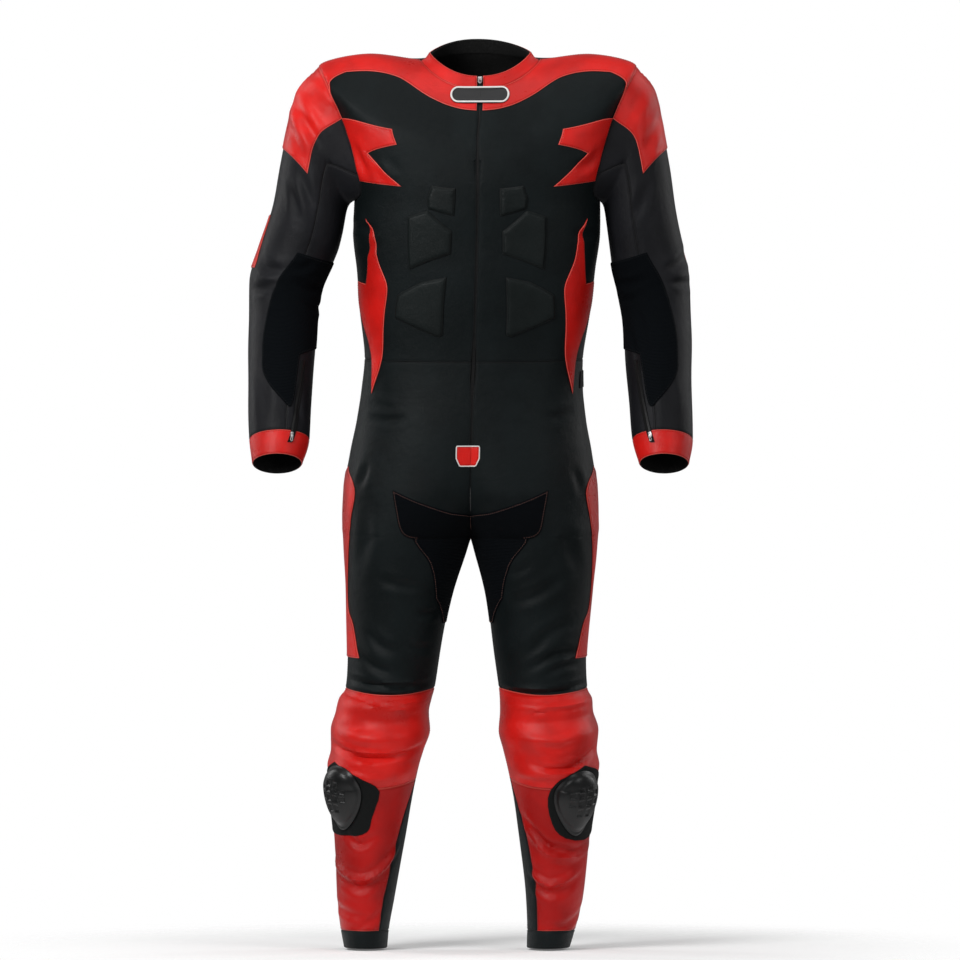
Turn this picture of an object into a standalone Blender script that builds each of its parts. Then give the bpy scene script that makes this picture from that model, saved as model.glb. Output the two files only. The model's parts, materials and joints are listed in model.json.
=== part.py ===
"""A one-piece motorcycle race suit, standing open and hollow in the shape of its rider.

Leather pieces are sewn edge to edge round the trunk, arms and legs. Red patches, chest pads
and knee sliders lie on them. The suit faces -Y, its own left side is +X, and the origin is
between the shoulders, where the rider's body carries it.
"""

import math
from collections import namedtuple

import bmesh
import bpy
from mathutils import Matrix, Vector
from mathutils.geometry import delaunay_2d_cdt

# ---- driving dimensions, metres ----
MM = 0.001
ORIGIN_HEIGHT = 1370 * MM  # the shoulders' middle, above the hems
SEAM = 0.3 * MM  # free gap where two pieces meet
WALL = 2.0 * MM  # leather with its bonded lining
PATCH = 1.4 * MM  # a patch sewn on top of a panel
PAD_RIM = 1.8 * MM  # a chest pad at its edge
PAD_CROWN = 5.0 * MM  # a chest pad at its middle
PUCK_RIM = 6.0 * MM  # a knee slider at its edge
PUCK_CROWN = 24.0 * MM  # a knee slider at its top
SLIT = 1.0 * MM  # half the slit that hides the front zip
THROAT = 4.6 * MM  # half the wider gap in the red collar and yoke
TAPE = 13.0 * MM  # half the width of the front zip's tape
TAPE_WALL = 1.4 * MM
COLUMNS = 14  # facets across half of the trunk, and round a leg
SIDE = COLUMNS // 2  # the column down the side of the body
ARM_COLUMNS = 14  # facets round a sleeve
HEIGHT_BLEND = 2.0  # how sharply a ring's height changes from side to front
NEAR = 0.012  # corners closer than this share of a facet are one
SAME = 0.02 * MM  # corners of two cuts closer than this are joined

# ---- the trunk and legs: one row a ring, millimetres ----
# Heights are above the hems at the ring's front, side and back. inner, middle and outer are
# distances from the suit's middle line, which leans sideways by lean. A ring whose inner
# reach passes the middle line is cut off there, as the two halves meet in the centre seams.
Ring = namedtuple("Ring", "name front_h side_h back_h inner middle outer front back lean power")
RINGS = [
    Ring("collar_top", 1357, 1390, 1407, -78, 0, 78, 66, 70, 11.0, 2.2),
    Ring("collar_seam", 1336, 1377, 1386, -93, 0, 93, 79, 82, 11.0, 2.2),
    Ring("yoke", 1298, 1385, 1352, -165, 0, 165, 106, 110, 10.0, 2.3),
    Ring("shoulder", 1258, 1366, 1305, -245, 0, 245, 124, 124, 7.0, 2.5),
    Ring("blades", 1222, 1295, 1262, -222, 0, 222, 131, 130, 7.0, 2.5),
    Ring("chest", 1184, 1223, 1215, -201, 0, 201, 134, 130, 7.0, 2.5),
    Ring("armpit", 1145, 1165, 1165, -190, 0, 190, 133, 127, 6.5, 2.5),
    Ring("ribs", 1103, 1108, 1108, -191, 0, 191, 130, 122, 6.0, 2.5),
    Ring("belly_top", 1050, 1050, 1050, -185, 0, 185, 127, 117, 5.0, 2.5),
    Ring("belly", 1000, 1000, 1000, -180, 0, 180, 122, 112, 3.5, 2.5),
    Ring("waist", 914, 914, 914, -169, 0, 169, 115, 108, 1.0, 2.5),
    Ring("hip_top", 868, 868, 868, -150, 8, 171, 116, 114, -1.0, 2.4),
    Ring("hip", 820, 820, 820, -120, 22, 177, 119, 124, -2.0, 2.3),
    Ring("seat_top", 768, 768, 768, -85, 42, 188, 122, 134, -3.0, 2.2),
    Ring("seat", 715, 715, 715, -58, 62, 196, 123, 138, -4.0, 2.1),
    Ring("fork_top", 675, 675, 675, -27, 84, 197, 119, 134, -4.0, 2.0),
    Ring("fork_low", 652, 652, 652, -8, 96, 197, 115, 128, -3.5, 2.0),
    Ring("fork", 640, 640, 640, 0, 100, 196, 113, 124, -3.5, 2.0),
    Ring("thigh_top", 606, 606, 606, 11, 103, 194, 108, 114, -4.0, 2.0),
    Ring("thigh", 556, 556, 556, 25, 108, 190, 102, 102, -5.5, 2.0),
    Ring("thigh_low", 452, 452, 452, 43, 114, 185, 91, 82, -9.5, 2.0),
    Ring("roll_top", 396, 404, 404, 50, 118, 187, 88, 74, -10.5, 2.0),
    Ring("roll_1", 376, 386, 386, 53, 124, 196, 103, 70, -12.0, 2.2),
    Ring("groove_1", 354, 366, 366, 55, 127, 199, 98, 68, -13.5, 2.2),
    Ring("roll_2", 328, 338, 338, 53, 130, 207, 110, 66, -13.0, 2.2),
    Ring("groove_2", 297, 309, 309, 61, 134, 206, 101, 66, -14.0, 2.2),
    Ring("roll_3", 272, 284, 284, 68, 139, 211, 104, 68, -15.0, 2.2),
    Ring("roll_end", 250, 262, 262, 73, 142, 208, 92, 70, -15.5, 2.1),
    Ring("shin_top", 222, 226, 226, 80, 142, 205, 84, 76, -16.0, 2.0),
    Ring("calf", 180, 180, 180, 87, 143, 199, 76, 80, -16.5, 2.0),
    Ring("shin_low", 80, 80, 80, 101, 146, 190, 62, 62, -20.0, 2.0),
    Ring("hem_seam", 28, 28, 28, 107, 144, 181, 57, 54, -23.0, 2.0),
    Ring("hem", 0, 0, 0, 108, 142, 175, 54, 50, -24.5, 2.0),
]
ROW = {ring.name: row for row, ring in enumerate(RINGS)}

# ---- the armhole: the columns and rows of the trunk that the sleeve takes ----
ARM_FRONT, ARM_BACK = 5, 9
ARM_TOP, ARM_LOW = ROW["shoulder"], ROW["armpit"]

# ---- the sleeve: one row a ring, millimetres ----
# A ring runs from its inner point, next to the trunk, round its front to its outer point.
# front and back are how far it reaches towards each, and its front stands higher by rise.
SleeveRing = namedtuple("SleeveRing", "in_x in_h out_x out_h front back rise lean")
SLEEVE_RINGS = [
    SleeveRing(199, 1148, 275, 1331, -64, 66, 0, 4.5),
    SleeveRing(206, 1107, 301, 1218, -66, 68, 0, 3.0),
    SleeveRing(210, 1084, 313, 1150, -64, 66, 0, 1.5),
    SleeveRing(217, 1056, 329, 1086, -62, 64, 2, -2.0),
    SleeveRing(229, 1020, 341, 1034, -63, 58, 9, -5.0),
    SleeveRing(237, 974, 343, 979, -78, 36, 18, -5.0),
    SleeveRing(240, 925, 344, 928, -101, 7, 21, -4.5),
    SleeveRing(246, 850, 344, 851, -132, -33, 20, -4.0),
    SleeveRing(250, 794, 344, 794, -148, -60, 18, -3.0),
    SleeveRing(261, 757, 339, 757, -158, -78, 18, -4.0),
]
SLEEVE_FRONT_SEAM = 3  # the sleeve column where its inner and outer pieces meet in front
CUFF_SEAM, CUFF_END = len(SLEEVE_RINGS) - 1, len(SLEEVE_RINGS)

# ---- finishes: linear colour, roughness, metallic ----
FINISHES = {
    "black_leather": ((0.012, 0.015, 0.017), 0.48, 0.0),
    "red_leather": ((0.58, 0.022, 0.016), 0.36, 0.0),
    "stretch_cloth": ((0.004, 0.005, 0.007), 0.85, 0.0),
    "lining_mesh": ((0.011, 0.011, 0.011), 0.8, 0.0),
    "hard_plastic": ((0.03, 0.033, 0.032), 0.35, 0.0),
    "zip_metal": ((0.45, 0.45, 0.46), 0.3, 1.0),
    "zip_tape": ((0.01, 0.01, 0.011), 0.7, 0.0),
    "badge_rubber": ((0.02, 0.02, 0.022), 0.4, 0.0),
}
LEFT, RIGHT = 1, -1
SIDES = {"left": LEFT, "right": RIGHT}


# ---- forms: the surfaces that the pieces are cut from ----
def rounded(share, power):
    """A superellipse's reach for the sine or cosine of an angle."""
    return math.copysign(abs(share) ** (2 / power), share)


def ring_point(ring, side, part):
    """The point of a ring at part 0 (centre front or inseam) to 1 (centre back or inseam)."""
    reach = ring.middle - ring.inner
    start = math.acos(min(1.0, ring.middle / reach) ** (ring.power / 2))
    angle = start + part * (2 * math.pi - 2 * start)
    across = rounded(math.cos(angle), ring.power)
    along = rounded(math.sin(angle), ring.power)
    x = ring.middle - across * (reach if across > 0 else ring.outer - ring.middle)
    y = -along * (ring.front if along > 0 else ring.back)
    end_h = ring.front_h if along > 0 else ring.back_h
    height = ring.side_h + (end_h - ring.side_h) * abs(along) ** HEIGHT_BLEND
    return Vector((ring.lean + side * x, y, height)) * MM - Vector((0, 0, ORIGIN_HEIGHT))


def sleeve_point(ring, side, column):
    """The point of a sleeve ring: column 0 is next to the trunk, and a quarter on is the front."""
    angle = 2 * math.pi * column / ARM_COLUMNS
    out = (1 - math.cos(angle)) / 2
    x = ring.in_x + out * (ring.out_x - ring.in_x)
    middle, half = (ring.front + ring.back) / 2, (ring.back - ring.front) / 2
    height = ring.in_h + out * (ring.out_h - ring.in_h) + ring.rise * math.sin(angle)
    y = middle - half * math.sin(angle)
    return Vector((ring.lean + side * x, y, height)) * MM - Vector((0, 0, ORIGIN_HEIGHT))


class Form:
    """A grid of points with outward normals. A place on it is a column and a row."""

    def __init__(self, rows, leans, closed_from=0, hole=lambda column, row: False):
        self.rows = rows
        self.leans = leans
        self.columns = len(rows[0]) - 1
        self.closed_from = closed_from
        self.normals = [[Vector() for _ in row] for row in rows]
        for row in range(len(rows) - 1):
            for column in range(self.columns):
                if not hole(column, row):
                    self.add_cell(column, row)
        for row in range(closed_from, len(rows)):
            both = self.normals[row][0] + self.normals[row][-1]
            self.normals[row][0] = both
            self.normals[row][-1] = both.copy()
        self.normals = [[n.normalized() for n in row] for row in self.normals]
        self.face_out()

    def lean_at(self, height):
        """How far the form's middle line leans sideways at a height above the hems, millimetres."""
        for (upper, upper_lean), (lower, lower_lean) in zip(self.leans, self.leans[1:]):
            if height >= lower:
                share = min(1.0, (height - lower) / (upper - lower))
                return lower_lean + share * (upper_lean - lower_lean)
        return self.leans[-1][1]

    def add_cell(self, column, row):
        a, b = self.rows[row][column], self.rows[row][column + 1]
        c, d = self.rows[row + 1][column + 1], self.rows[row + 1][column]
        halves_of_cell = (((a, b, c), ((0, 0), (1, 0), (1, 1))), ((a, c, d), ((0, 0), (1, 1), (0, 1))))
        for corners, places in halves_of_cell:
            normal = (corners[1] - corners[0]).cross(corners[2] - corners[0])
            for across, down in places:
                self.normals[row + down][column + across] += normal

    def face_out(self):
        middle_row, middle = len(self.rows) // 2, self.columns // 2
        centre = sum(self.rows[middle_row], Vector()) / (self.columns + 1)
        away = self.rows[middle_row][middle] - centre
        if self.normals[middle_row][middle].dot(away) < 0:
            self.normals = [[-n for n in row] for row in self.normals]

    def place(self, column, row):
        """The point and the normal at a column and a row, on the facets themselves."""
        down = min(int(row), len(self.rows) - 2)
        across = math.floor(column)
        b, a = row - down, column - across
        if down >= self.closed_from:
            across %= self.columns
        elif across >= self.columns:
            across, a = self.columns - 1, 1.0
        found = []
        for grid in (self.rows, self.normals):
            start, far = grid[down][across], grid[down + 1][across + 1]
            if a >= b:
                corner = grid[down][across + 1]
                found.append(start + (corner - start) * a + (far - corner) * b)
            else:
                corner = grid[down + 1][across]
                found.append(start + (corner - start) * b + (far - corner) * a)
        return found


def armhole_loop():
    """The trunk's (column, row) corners round the armhole, in the order of a sleeve's columns."""
    half = (ARM_FRONT + ARM_BACK) // 2
    low_front = [(column, ARM_LOW) for column in range(half, ARM_FRONT, -1)]
    front = [(ARM_FRONT, row) for row in range(ARM_LOW, ARM_TOP, -1)]
    top = [(column, ARM_TOP) for column in range(ARM_FRONT, ARM_BACK)]
    back = [(ARM_BACK, row) for row in range(ARM_TOP, ARM_LOW)]
    low_back = [(column, ARM_LOW) for column in range(ARM_BACK, half - 1, -1)]
    return low_front + front + top + back + low_back


def make_forms(side):
    """The trunk with its leg, and the sleeve, of one side, with one set of normals at the armhole."""
    rows = [[ring_point(ring, side, c / COLUMNS) for c in range(COLUMNS + 1)] for ring in RINGS]

    def in_armhole(column, row):
        return ARM_FRONT <= column < ARM_BACK and ARM_TOP <= row < ARM_LOW

    body = Form(rows, [(ring.front_h, ring.lean) for ring in RINGS], ROW["fork"], in_armhole)
    for row in range(ROW["fork"] + 1):
        for end in (0, -1):
            normal = body.normals[row][end]
            body.normals[row][end] = Vector((0, normal.y, normal.z)).normalized()
    loop = armhole_loop()
    sleeve_rows = [[body.rows[row][column] for column, row in loop]]
    for ring in SLEEVE_RINGS:
        sleeve_rows.append([sleeve_point(ring, side, c) for c in range(ARM_COLUMNS + 1)])
    sleeve = Form(sleeve_rows, [(ring.in_h, ring.lean) for ring in SLEEVE_RINGS])
    for number, (column, row) in enumerate(loop[:-1]):
        both = body.normals[row][column] + sleeve.normals[0][number]
        even = max(0.7, both.length / 2)
        shared = both.normalized() / even
        body.normals[row][column] = shared
        sleeve.normals[0][number] = shared
    sleeve.normals[0][-1] = sleeve.normals[0][0]
    return {"body": body, "sleeve": sleeve, "side": side}


# ---- places on a form, from the front view ----
def row_at(form, column, height):
    """The row where a column passes a height, given in metres from the origin."""
    low, high = 0.0, float(len(form.rows) - 1)
    for _ in range(24):
        middle = (low + high) / 2
        if form.place(column, middle)[0].z > height:
            low = middle
        else:
            high = middle
    return (low + high) / 2


def find(form, side, across, height, start=0.0, steps_each=8):
    """The place seen from the front at across and height, millimetres from the middle line.

    Past the outline, the rest of across is walked on round the side of the form.
    """
    level = height * MM - ORIGIN_HEIGHT
    target = form.lean_at(height) * MM * side + across * MM
    last, walked = None, None
    for step in range((form.columns + 4) * steps_each):
        column = start + step / steps_each
        row = row_at(form, column, level)
        point = form.place(column, row)[0]
        reach = point.x * side
        if last is None:
            if reach >= target:
                return column, row
        elif walked is None:
            if last[2] < target <= reach:
                share = (target - last[2]) / (reach - last[2])
                column = last[0] + share * (column - last[0])
                return column, row_at(form, column, level)
            if reach < last[2]:
                walked = last[2]
        if walked is not None:
            walked += (point - last[3]).length
            if walked >= target:
                return column, row
        last = (column, row, reach, point)
    raise ValueError(f"no place at {across}, {height}")


def on_row(form, side, row, across):
    """The column where a row passes across, metres from the middle line."""
    middle = form.place(0, row)[0].x
    low, high = 0.0, form.columns / 2
    for _ in range(24):
        column = (low + high) / 2
        if (form.place(column, row)[0].x - middle) * side < across:
            low = column
        else:
            high = column
    return (low + high) / 2


# ---- pieces: an outline cut from a form, with a thickness ----
def cut(form, outline, loops=()):
    """Cut an outline of (column, row) corners from a form, along its facets.

    Each loop is a further line that the piece keeps, with its share of the full height.
    """
    area = sum(a[0] * b[1] - b[0] * a[1] for a, b in zip(outline, outline[1:] + outline[:1]))
    corners = [Vector(corner) for corner in (outline if area > 0 else outline[::-1])]
    face = list(range(len(corners)))
    edges = []

    def draw(points, closed=False):
        first = len(corners)
        corners.extend(Vector(point) for point in points)
        edges.extend((first + k, first + k + 1) for k in range(len(points) - 1))
        if closed:
            edges.append((len(corners) - 1, first))

    left, right = math.floor(min(c.x for c in corners)), math.ceil(max(c.x for c in corners))
    top, bottom = math.floor(min(c.y for c in corners)), math.ceil(max(c.y for c in corners))
    for column in range(left, right + 1):
        draw([(column, top), (column, bottom)])
    for row in range(top, bottom + 1):
        draw([(left, row), (right, row)])
    for offset in range(left - bottom + top, right):
        start, end = max(offset, left), min(offset + bottom - top, right)
        if end > start:
            draw([(start, top + start - offset), (end, top + end - offset)])
    for loop, _ in loops:
        draw(loop, closed=True)
    spots, _, faces, _, _, _ = delaunay_2d_cdt(corners, edges, [face], 0, NEAR)
    kept = []
    for face in faces:
        centre = sum((spots[k] for k in face), Vector((0, 0))) / len(face)
        if inside_loop(centre, outline, edge=0.0):
            kept.append(face)
    return form, spots, kept, list(loops)


def inside_loop(point, loop, edge=2 * NEAR):
    """Whether a point lies inside a loop, or within edge of it."""
    crossings = False
    for a, b in zip(loop, loop[1:] + loop[:1]):
        side = (b[0] - a[0]) * (point.y - a[1]) - (b[1] - a[1]) * (point.x - a[0])
        length = math.hypot(b[0] - a[0], b[1] - a[1])
        ahead = ((b[0] - a[0]) * (point.x - a[0]) + (b[1] - a[1]) * (point.y - a[1])) / length
        if abs(side) / length < edge and -NEAR < ahead < length + NEAR:
            return True
        if (a[1] > point.y) != (b[1] > point.y):
            if point.x < a[0] + (point.y - a[1]) / (b[1] - a[1]) * (b[0] - a[0]):
                crossings = not crossings
    return crossings


def crown_share(point, loops):
    """How much of the full height a piece has at a point: that of the innermost loop round it."""
    return max([0.0] + [share for loop, share in loops if inside_loop(point, loop)])


def inward_shift(bm):
    """How each border corner moves, along the surface, to leave half a seam's gap."""
    pushes = {}
    for edge in bm.edges:
        if len(edge.link_faces) == 1:
            face = edge.link_faces[0]
            run = edge.verts[1].co - edge.verts[0].co
            inward = face.normal.cross(run).normalized()
            if inward.dot(face.calc_center_median() - edge.verts[0].co) < 0:
                inward = -inward
            for vert in edge.verts:
                pushes.setdefault(vert, []).append(inward)
    shifts = {}
    for vert, both in pushes.items():
        total = sum(both, Vector())
        shifts[vert] = total / max(0.5, total.length_squared / 2) * (SEAM / 2 + 0.02 * MM)
    return shifts


def piece(name, cuts, low, high, finish, crown=0.0):
    """One named solid between two heights over its form, from one or more cuts joined."""
    sheet = bmesh.new()
    outward = sheet.verts.layers.float_vector.new("outward")
    lift = sheet.verts.layers.float.new("lift")
    for form, spots, faces, loops in cuts:
        made = {}
        for corners in faces:
            for k in corners:
                if k not in made:
                    point, normal = form.place(spots[k].x, spots[k].y)
                    made[k] = sheet.verts.new(point)
                    made[k][outward] = normal
                    made[k][lift] = crown_share(spots[k], loops)
            sheet.faces.new([made[k] for k in corners])
    bmesh.ops.remove_doubles(sheet, verts=sheet.verts, dist=SAME)
    bmesh.ops.recalc_face_normals(sheet, faces=sheet.faces)
    sheet.normal_update()
    shifts = inward_shift(sheet)
    solid = bmesh.new()
    under, over = {}, {}
    for vert in sheet.verts:
        base = vert.co + shifts.get(vert, Vector())
        under[vert] = solid.verts.new(base + vert[outward] * low)
        over[vert] = solid.verts.new(base + vert[outward] * (high + crown * vert[lift]))
    for face in sheet.faces:
        solid.faces.new([over[v] for v in face.verts])
        solid.faces.new([under[v] for v in reversed(face.verts)])
    for edge in sheet.edges:
        if len(edge.link_faces) == 1:
            a, b = edge.verts
            solid.faces.new([under[a], under[b], over[b], over[a]])
    sheet.free()
    bmesh.ops.triangulate(solid, faces=solid.faces)
    bmesh.ops.recalc_face_normals(solid, faces=solid.faces)
    return make_object(name, solid, finish)


def make_object(name, bm, finish):
    mesh = bpy.data.meshes.new(name)
    bm.to_mesh(mesh)
    bm.free()
    thing = bpy.data.objects.new(name, mesh)
    thing.data.materials.append(material(finish))
    suit_collection().objects.link(thing)
    return thing


def material(name):
    found = bpy.data.materials.get(name)
    if found:
        return found
    colour, roughness, metallic = FINISHES[name]
    made = bpy.data.materials.new(name)
    made.use_nodes = True
    shader = made.node_tree.nodes["Principled BSDF"]
    shader.inputs["Base Color"].default_value = (*colour, 1.0)
    shader.inputs["Roughness"].default_value = roughness
    shader.inputs["Metallic"].default_value = metallic
    return made


def suit_collection():
    found = bpy.data.collections.get("race_suit")
    if not found:
        found = bpy.data.collections.new("race_suit")
        bpy.context.scene.collection.children.link(found)
    return found


def clear_scene():
    for thing in list(bpy.data.objects):
        bpy.data.objects.remove(thing, do_unlink=True)


def patch(name, cuts, finish="red_leather", level=0, thick=PATCH):
    """A piece sewn on top: level 0 lies on the panel, and level 1 lies on another patch."""
    low = SEAM + level * (PATCH + SEAM)
    return piece(name, cuts, low, low + thick, finish)


def seen(form, side, points, start=0.0):
    """Outline corners from a list of (across, height) points in the front view."""
    return [find(form, side, across, height, start) for across, height in points]


# ---- the panels of the trunk and legs ----
def edge_gap(body, side, rows, gap):
    """Corners down the centre front, held off the middle line by a gap."""
    return [(on_row(body, side, row, gap), row) for row in rows]


def torso_front(body, side):
    top, waist = ROW["collar_seam"], ROW["waist"]
    armhole = [(SIDE, ARM_TOP), (ARM_FRONT, ARM_TOP), (ARM_FRONT, ARM_LOW), (SIDE, ARM_LOW)]
    front = edge_gap(body, side, range(waist, top - 1, -1), SLIT)
    return cut(body, [(SIDE, top)] + armhole + [(SIDE, waist)] + front)


def torso_back(body):
    top, waist = ROW["collar_seam"], ROW["waist"]
    armhole = [(SIDE, ARM_LOW), (ARM_BACK, ARM_LOW), (ARM_BACK, ARM_TOP), (SIDE, ARM_TOP)]
    return cut(body, [(SIDE, top), (COLUMNS, top), (COLUMNS, waist), (SIDE, waist)] + armhole)


def make_trunk(forms):
    for word, side in SIDES.items():
        piece(f"torso_front_{word}", [torso_front(forms[side]["body"], side)], -WALL, 0, "black_leather")
    backs = [torso_back(forms[side]["body"]) for side in SIDES.values()]
    piece("torso_back", backs, -WALL, 0, "black_leather")
    collars, linings = [], []
    top, seam = 0, ROW["collar_seam"]
    for side in SIDES.values():
        body = forms[side]["body"]
        for cuts, gap in ((collars, THROAT), (linings, TAPE + 2 * MM)):
            front = edge_gap(body, side, (seam, top), gap)
            cuts.append(cut(body, [(COLUMNS, top), (COLUMNS, seam)] + front))
    piece("collar", collars, -WALL, 0, "red_leather")
    piece("collar_lining", linings, -2 * WALL, -WALL - SEAM, "lining_mesh")


SHIN_EDGE = [("roll_end", 0.3), ("shin_top", 0.9), ("calf", 1.4), ("shin_low", 2.0), ("hem_seam", 2.1)]
KNEE_BACK = SIDE + 1  # the column where the red knee and shin meet the black back of the leg


def make_legs(forms):
    waist, knee, shin = ROW["waist"], ROW["roll_top"], ROW["roll_end"]
    seam, hem = ROW["hem_seam"], ROW["hem"]
    inner = [(column, ROW[name]) for name, column in SHIN_EDGE]
    inner_wrapped = [(column + COLUMNS, row) for column, row in inner]
    outlines = {
        "trouser_front": ([(0, waist), (SIDE, waist), (SIDE, knee), (0, knee)], "black_leather"),
        "trouser_back": ([(SIDE, waist), (COLUMNS, waist), (COLUMNS, knee), (SIDE, knee)], "black_leather"),
        "knee_rolls": ([(0, knee), (KNEE_BACK, knee), (KNEE_BACK, shin), (0, shin)], "red_leather"),
        "shin": (inner + [(KNEE_BACK, seam), (KNEE_BACK, shin)], "red_leather"),
        "calf": (
            [(KNEE_BACK, knee), (COLUMNS, knee), (COLUMNS, shin)] + inner_wrapped + [(KNEE_BACK, seam)],
            "black_leather",
        ),
        "hem": ([(0, seam), (COLUMNS, seam), (COLUMNS, hem), (0, hem)], "black_leather"),
    }
    for word, side in SIDES.items():
        for name, (outline, finish) in outlines.items():
            piece(f"{name}_{word}", [cut(forms[side]["body"], outline)], -WALL, 0, finish)


def make_sleeves(forms):
    front, back, whole = SLEEVE_FRONT_SEAM, ARM_COLUMNS - SLEEVE_FRONT_SEAM, ARM_COLUMNS
    outlines = {
        "sleeve_outer": ([(front, 0), (back, 0), (back, CUFF_SEAM), (front, CUFF_SEAM)], "black_leather"),
        "sleeve_inner": ([(-front, 0), (front, 0), (front, CUFF_SEAM), (-front, CUFF_SEAM)], "black_leather"),
        "cuff": ([(0, CUFF_SEAM), (whole, CUFF_SEAM), (whole, CUFF_END), (0, CUFF_END)], "red_leather"),
    }
    for word, side in SIDES.items():
        for name, (outline, finish) in outlines.items():
            piece(f"{name}_{word}", [cut(forms[side]["sleeve"], outline)], -WALL, 0, finish)


# ---- what is sewn on: outlines as (across, height) in the front view, millimetres ----
YOKE_EDGE = [(202, 1361), (165, 1362), (130, 1355), (107, 1343), (75, 1323), (50, 1312), (27, 1306)]
YOKE_FOOT = 1304
FLASH_TIPS = [(186, 1202), (118, 1187), (169, 1238), (125, 1252), (131, 1276)]
SIDE_FLASH = [
    (171, 1135), (158, 1111), (152, 1072), (138, 1035), (138, 1008), (141, 960), (141, 924),
    (155, 863), (159, 924), (174, 975), (180, 1007), (183, 1043), (170, 1033), (168, 1060), (165, 1108),
]
THIGH_EDGE = [(190, 748), (179, 716), (185, 667), (189, 602), (187, 540), (178, 503), (167, 452)]
THIGH_BACK = [(SIDE + 1.2, "thigh_low"), (SIDE + 2, "thigh"), (SIDE + 2, "fork"), (SIDE + 1.4, "seat")]
FORK_EDGE = [(30, 681), (75, 696), (121, 716), (115, 679), (90, 640), (64, 601), (53, 545)]
FORK_TOP, FORK_FOOT = 676, 505
PADS = {
    "top": [(78, 1169), (71, 1189), (34, 1185), (36, 1142), (76, 1153)],
    "mid": [(78, 1150), (75, 1149), (39, 1118), (40, 1083), (104, 1058), (107, 1140)],
    "low": [(46, 1047), (49, 957), (56, 953), (124, 982), (121, 1018), (84, 1039)],
}
CAP_FRONT = [(259, 1204)]
CAP_SEAM = 4.0  # the sleeve column where the cap leaves the armhole seam
STRETCH_EDGE = [(268, 1082), (318, 970), (322, 925), (320, 896), (292, 857), (277, 850), (264, 925)]
SLEEVE_ZIP = [(258, 916), (281, 792)]
ZIP_HALF = 4.0
ELBOW = {"left": (7.4, 11.0), "right": (6.1, 9.9)}
ELBOW_ROWS = (3.2, 4.6)
TAB = [(-24, 784), (14, 784), (14, 764), (8, 753), (-18, 753), (-24, 764)]
BADGE_HALF_WIDTH, BADGE_HALF_HEIGHT, BADGE_HEIGHT = 47, 13, 1327
LABEL = [(165, 896), (176, 896), (176, 870), (165, 870)]
ZIP_FOOT = 769
PUCKS = {
    "right": {"across": 174, "height": 232, "width": 94, "tall": 104},
    "left": {"across": 168, "height": 227, "width": 86, "tall": 108},
}


def make_patches(forms):
    for word, side in SIDES.items():
        body, sleeve = forms[side]["body"], forms[side]["sleeve"]
        top = ROW["collar_seam"]
        foot = find(body, side, THROAT / MM, YOKE_FOOT)
        yoke = [(on_row(body, side, top, THROAT), top), (8, top), (8, ARM_TOP), (ARM_FRONT, ARM_TOP)]
        patch(f"yoke_{word}", [cut(body, yoke + seen(body, side, YOKE_EDGE) + [foot])])
        flash = [(ARM_FRONT - 0.05, ARM_TOP + 0.95), (ARM_FRONT - 0.05, ARM_TOP + 2.2)]
        patch(f"chest_flash_{word}", [cut(body, flash + seen(body, side, FLASH_TIPS))])
        patch(f"side_flash_{word}", [cut(body, seen(body, side, SIDE_FLASH))])
        rear = [(column, ROW[name]) for column, name in THIGH_BACK]
        patch(f"thigh_flash_{word}", [cut(body, seen(body, side, THIGH_EDGE) + rear)])
        make_fork_panel(word, side, body)
        make_cap(word, side, sleeve)
        edge = seen(sleeve, side, STRETCH_EDGE)
        rear = [(-1.6, row_at(sleeve, 0, 0.945 - ORIGIN_HEIGHT)), (-1.6, edge[0][1])]
        patch(f"arm_stretch_{word}", [cut(sleeve, edge + rear)], "stretch_cloth")
        first, last = ELBOW[word]
        upper, lower = ELBOW_ROWS
        elbow = [(first + 0.5, upper), (last - 0.5, upper), (last, lower), (first, lower)]
        patch(f"elbow_patch_{word}", [cut(sleeve, elbow)])
        for name, outline in PADS.items():
            make_pad(f"chest_pad_{name}_{word}", body, seen(body, side, outline))
        make_puck(word, side, body)
        make_sleeve_zip(word, side, sleeve)
    label = seen(forms[LEFT]["body"], LEFT, LABEL)
    patch("side_label", [cut(forms[LEFT]["body"], label)], "zip_tape")


def make_fork_panel(word, side, body):
    fork, foot = ROW["fork"], row_at(body, 0, FORK_FOOT * MM - ORIGIN_HEIGHT)
    top = (0, row_at(body, 0, FORK_TOP * MM - ORIGIN_HEIGHT))
    inner = [(0.8, foot), (-1.2, foot), (-1.7, fork), (0, fork)]
    patch(f"crotch_stretch_{word}", [cut(body, [top] + seen(body, side, FORK_EDGE) + inner)], "stretch_cloth")


def make_cap(word, side, sleeve):
    """The shoulder cap: its front corners are found, and its back repeats them."""
    front = [(CAP_SEAM, 0)] + seen(sleeve, side, CAP_FRONT)
    outer = (ARM_COLUMNS / 2, row_at(sleeve, ARM_COLUMNS / 2, 1.24 - ORIGIN_HEIGHT))
    back = [(ARM_COLUMNS - column, row) for column, row in reversed(front)]
    patch(f"shoulder_cap_{word}", [cut(sleeve, front + [outer] + back)])


def shrunk(outline, share):
    """An outline drawn in towards its middle."""
    middle = sum((Vector(corner) for corner in outline), Vector((0, 0))) / len(outline)
    return [tuple(middle + (Vector(corner) - middle) * share) for corner in outline]


def make_pad(name, body, outline):
    flat_top = (shrunk(outline, 0.8), 1.0)
    piece(name, [cut(body, outline, [flat_top])], SEAM, PAD_RIM, "black_leather", PAD_CROWN - PAD_RIM)


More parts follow.
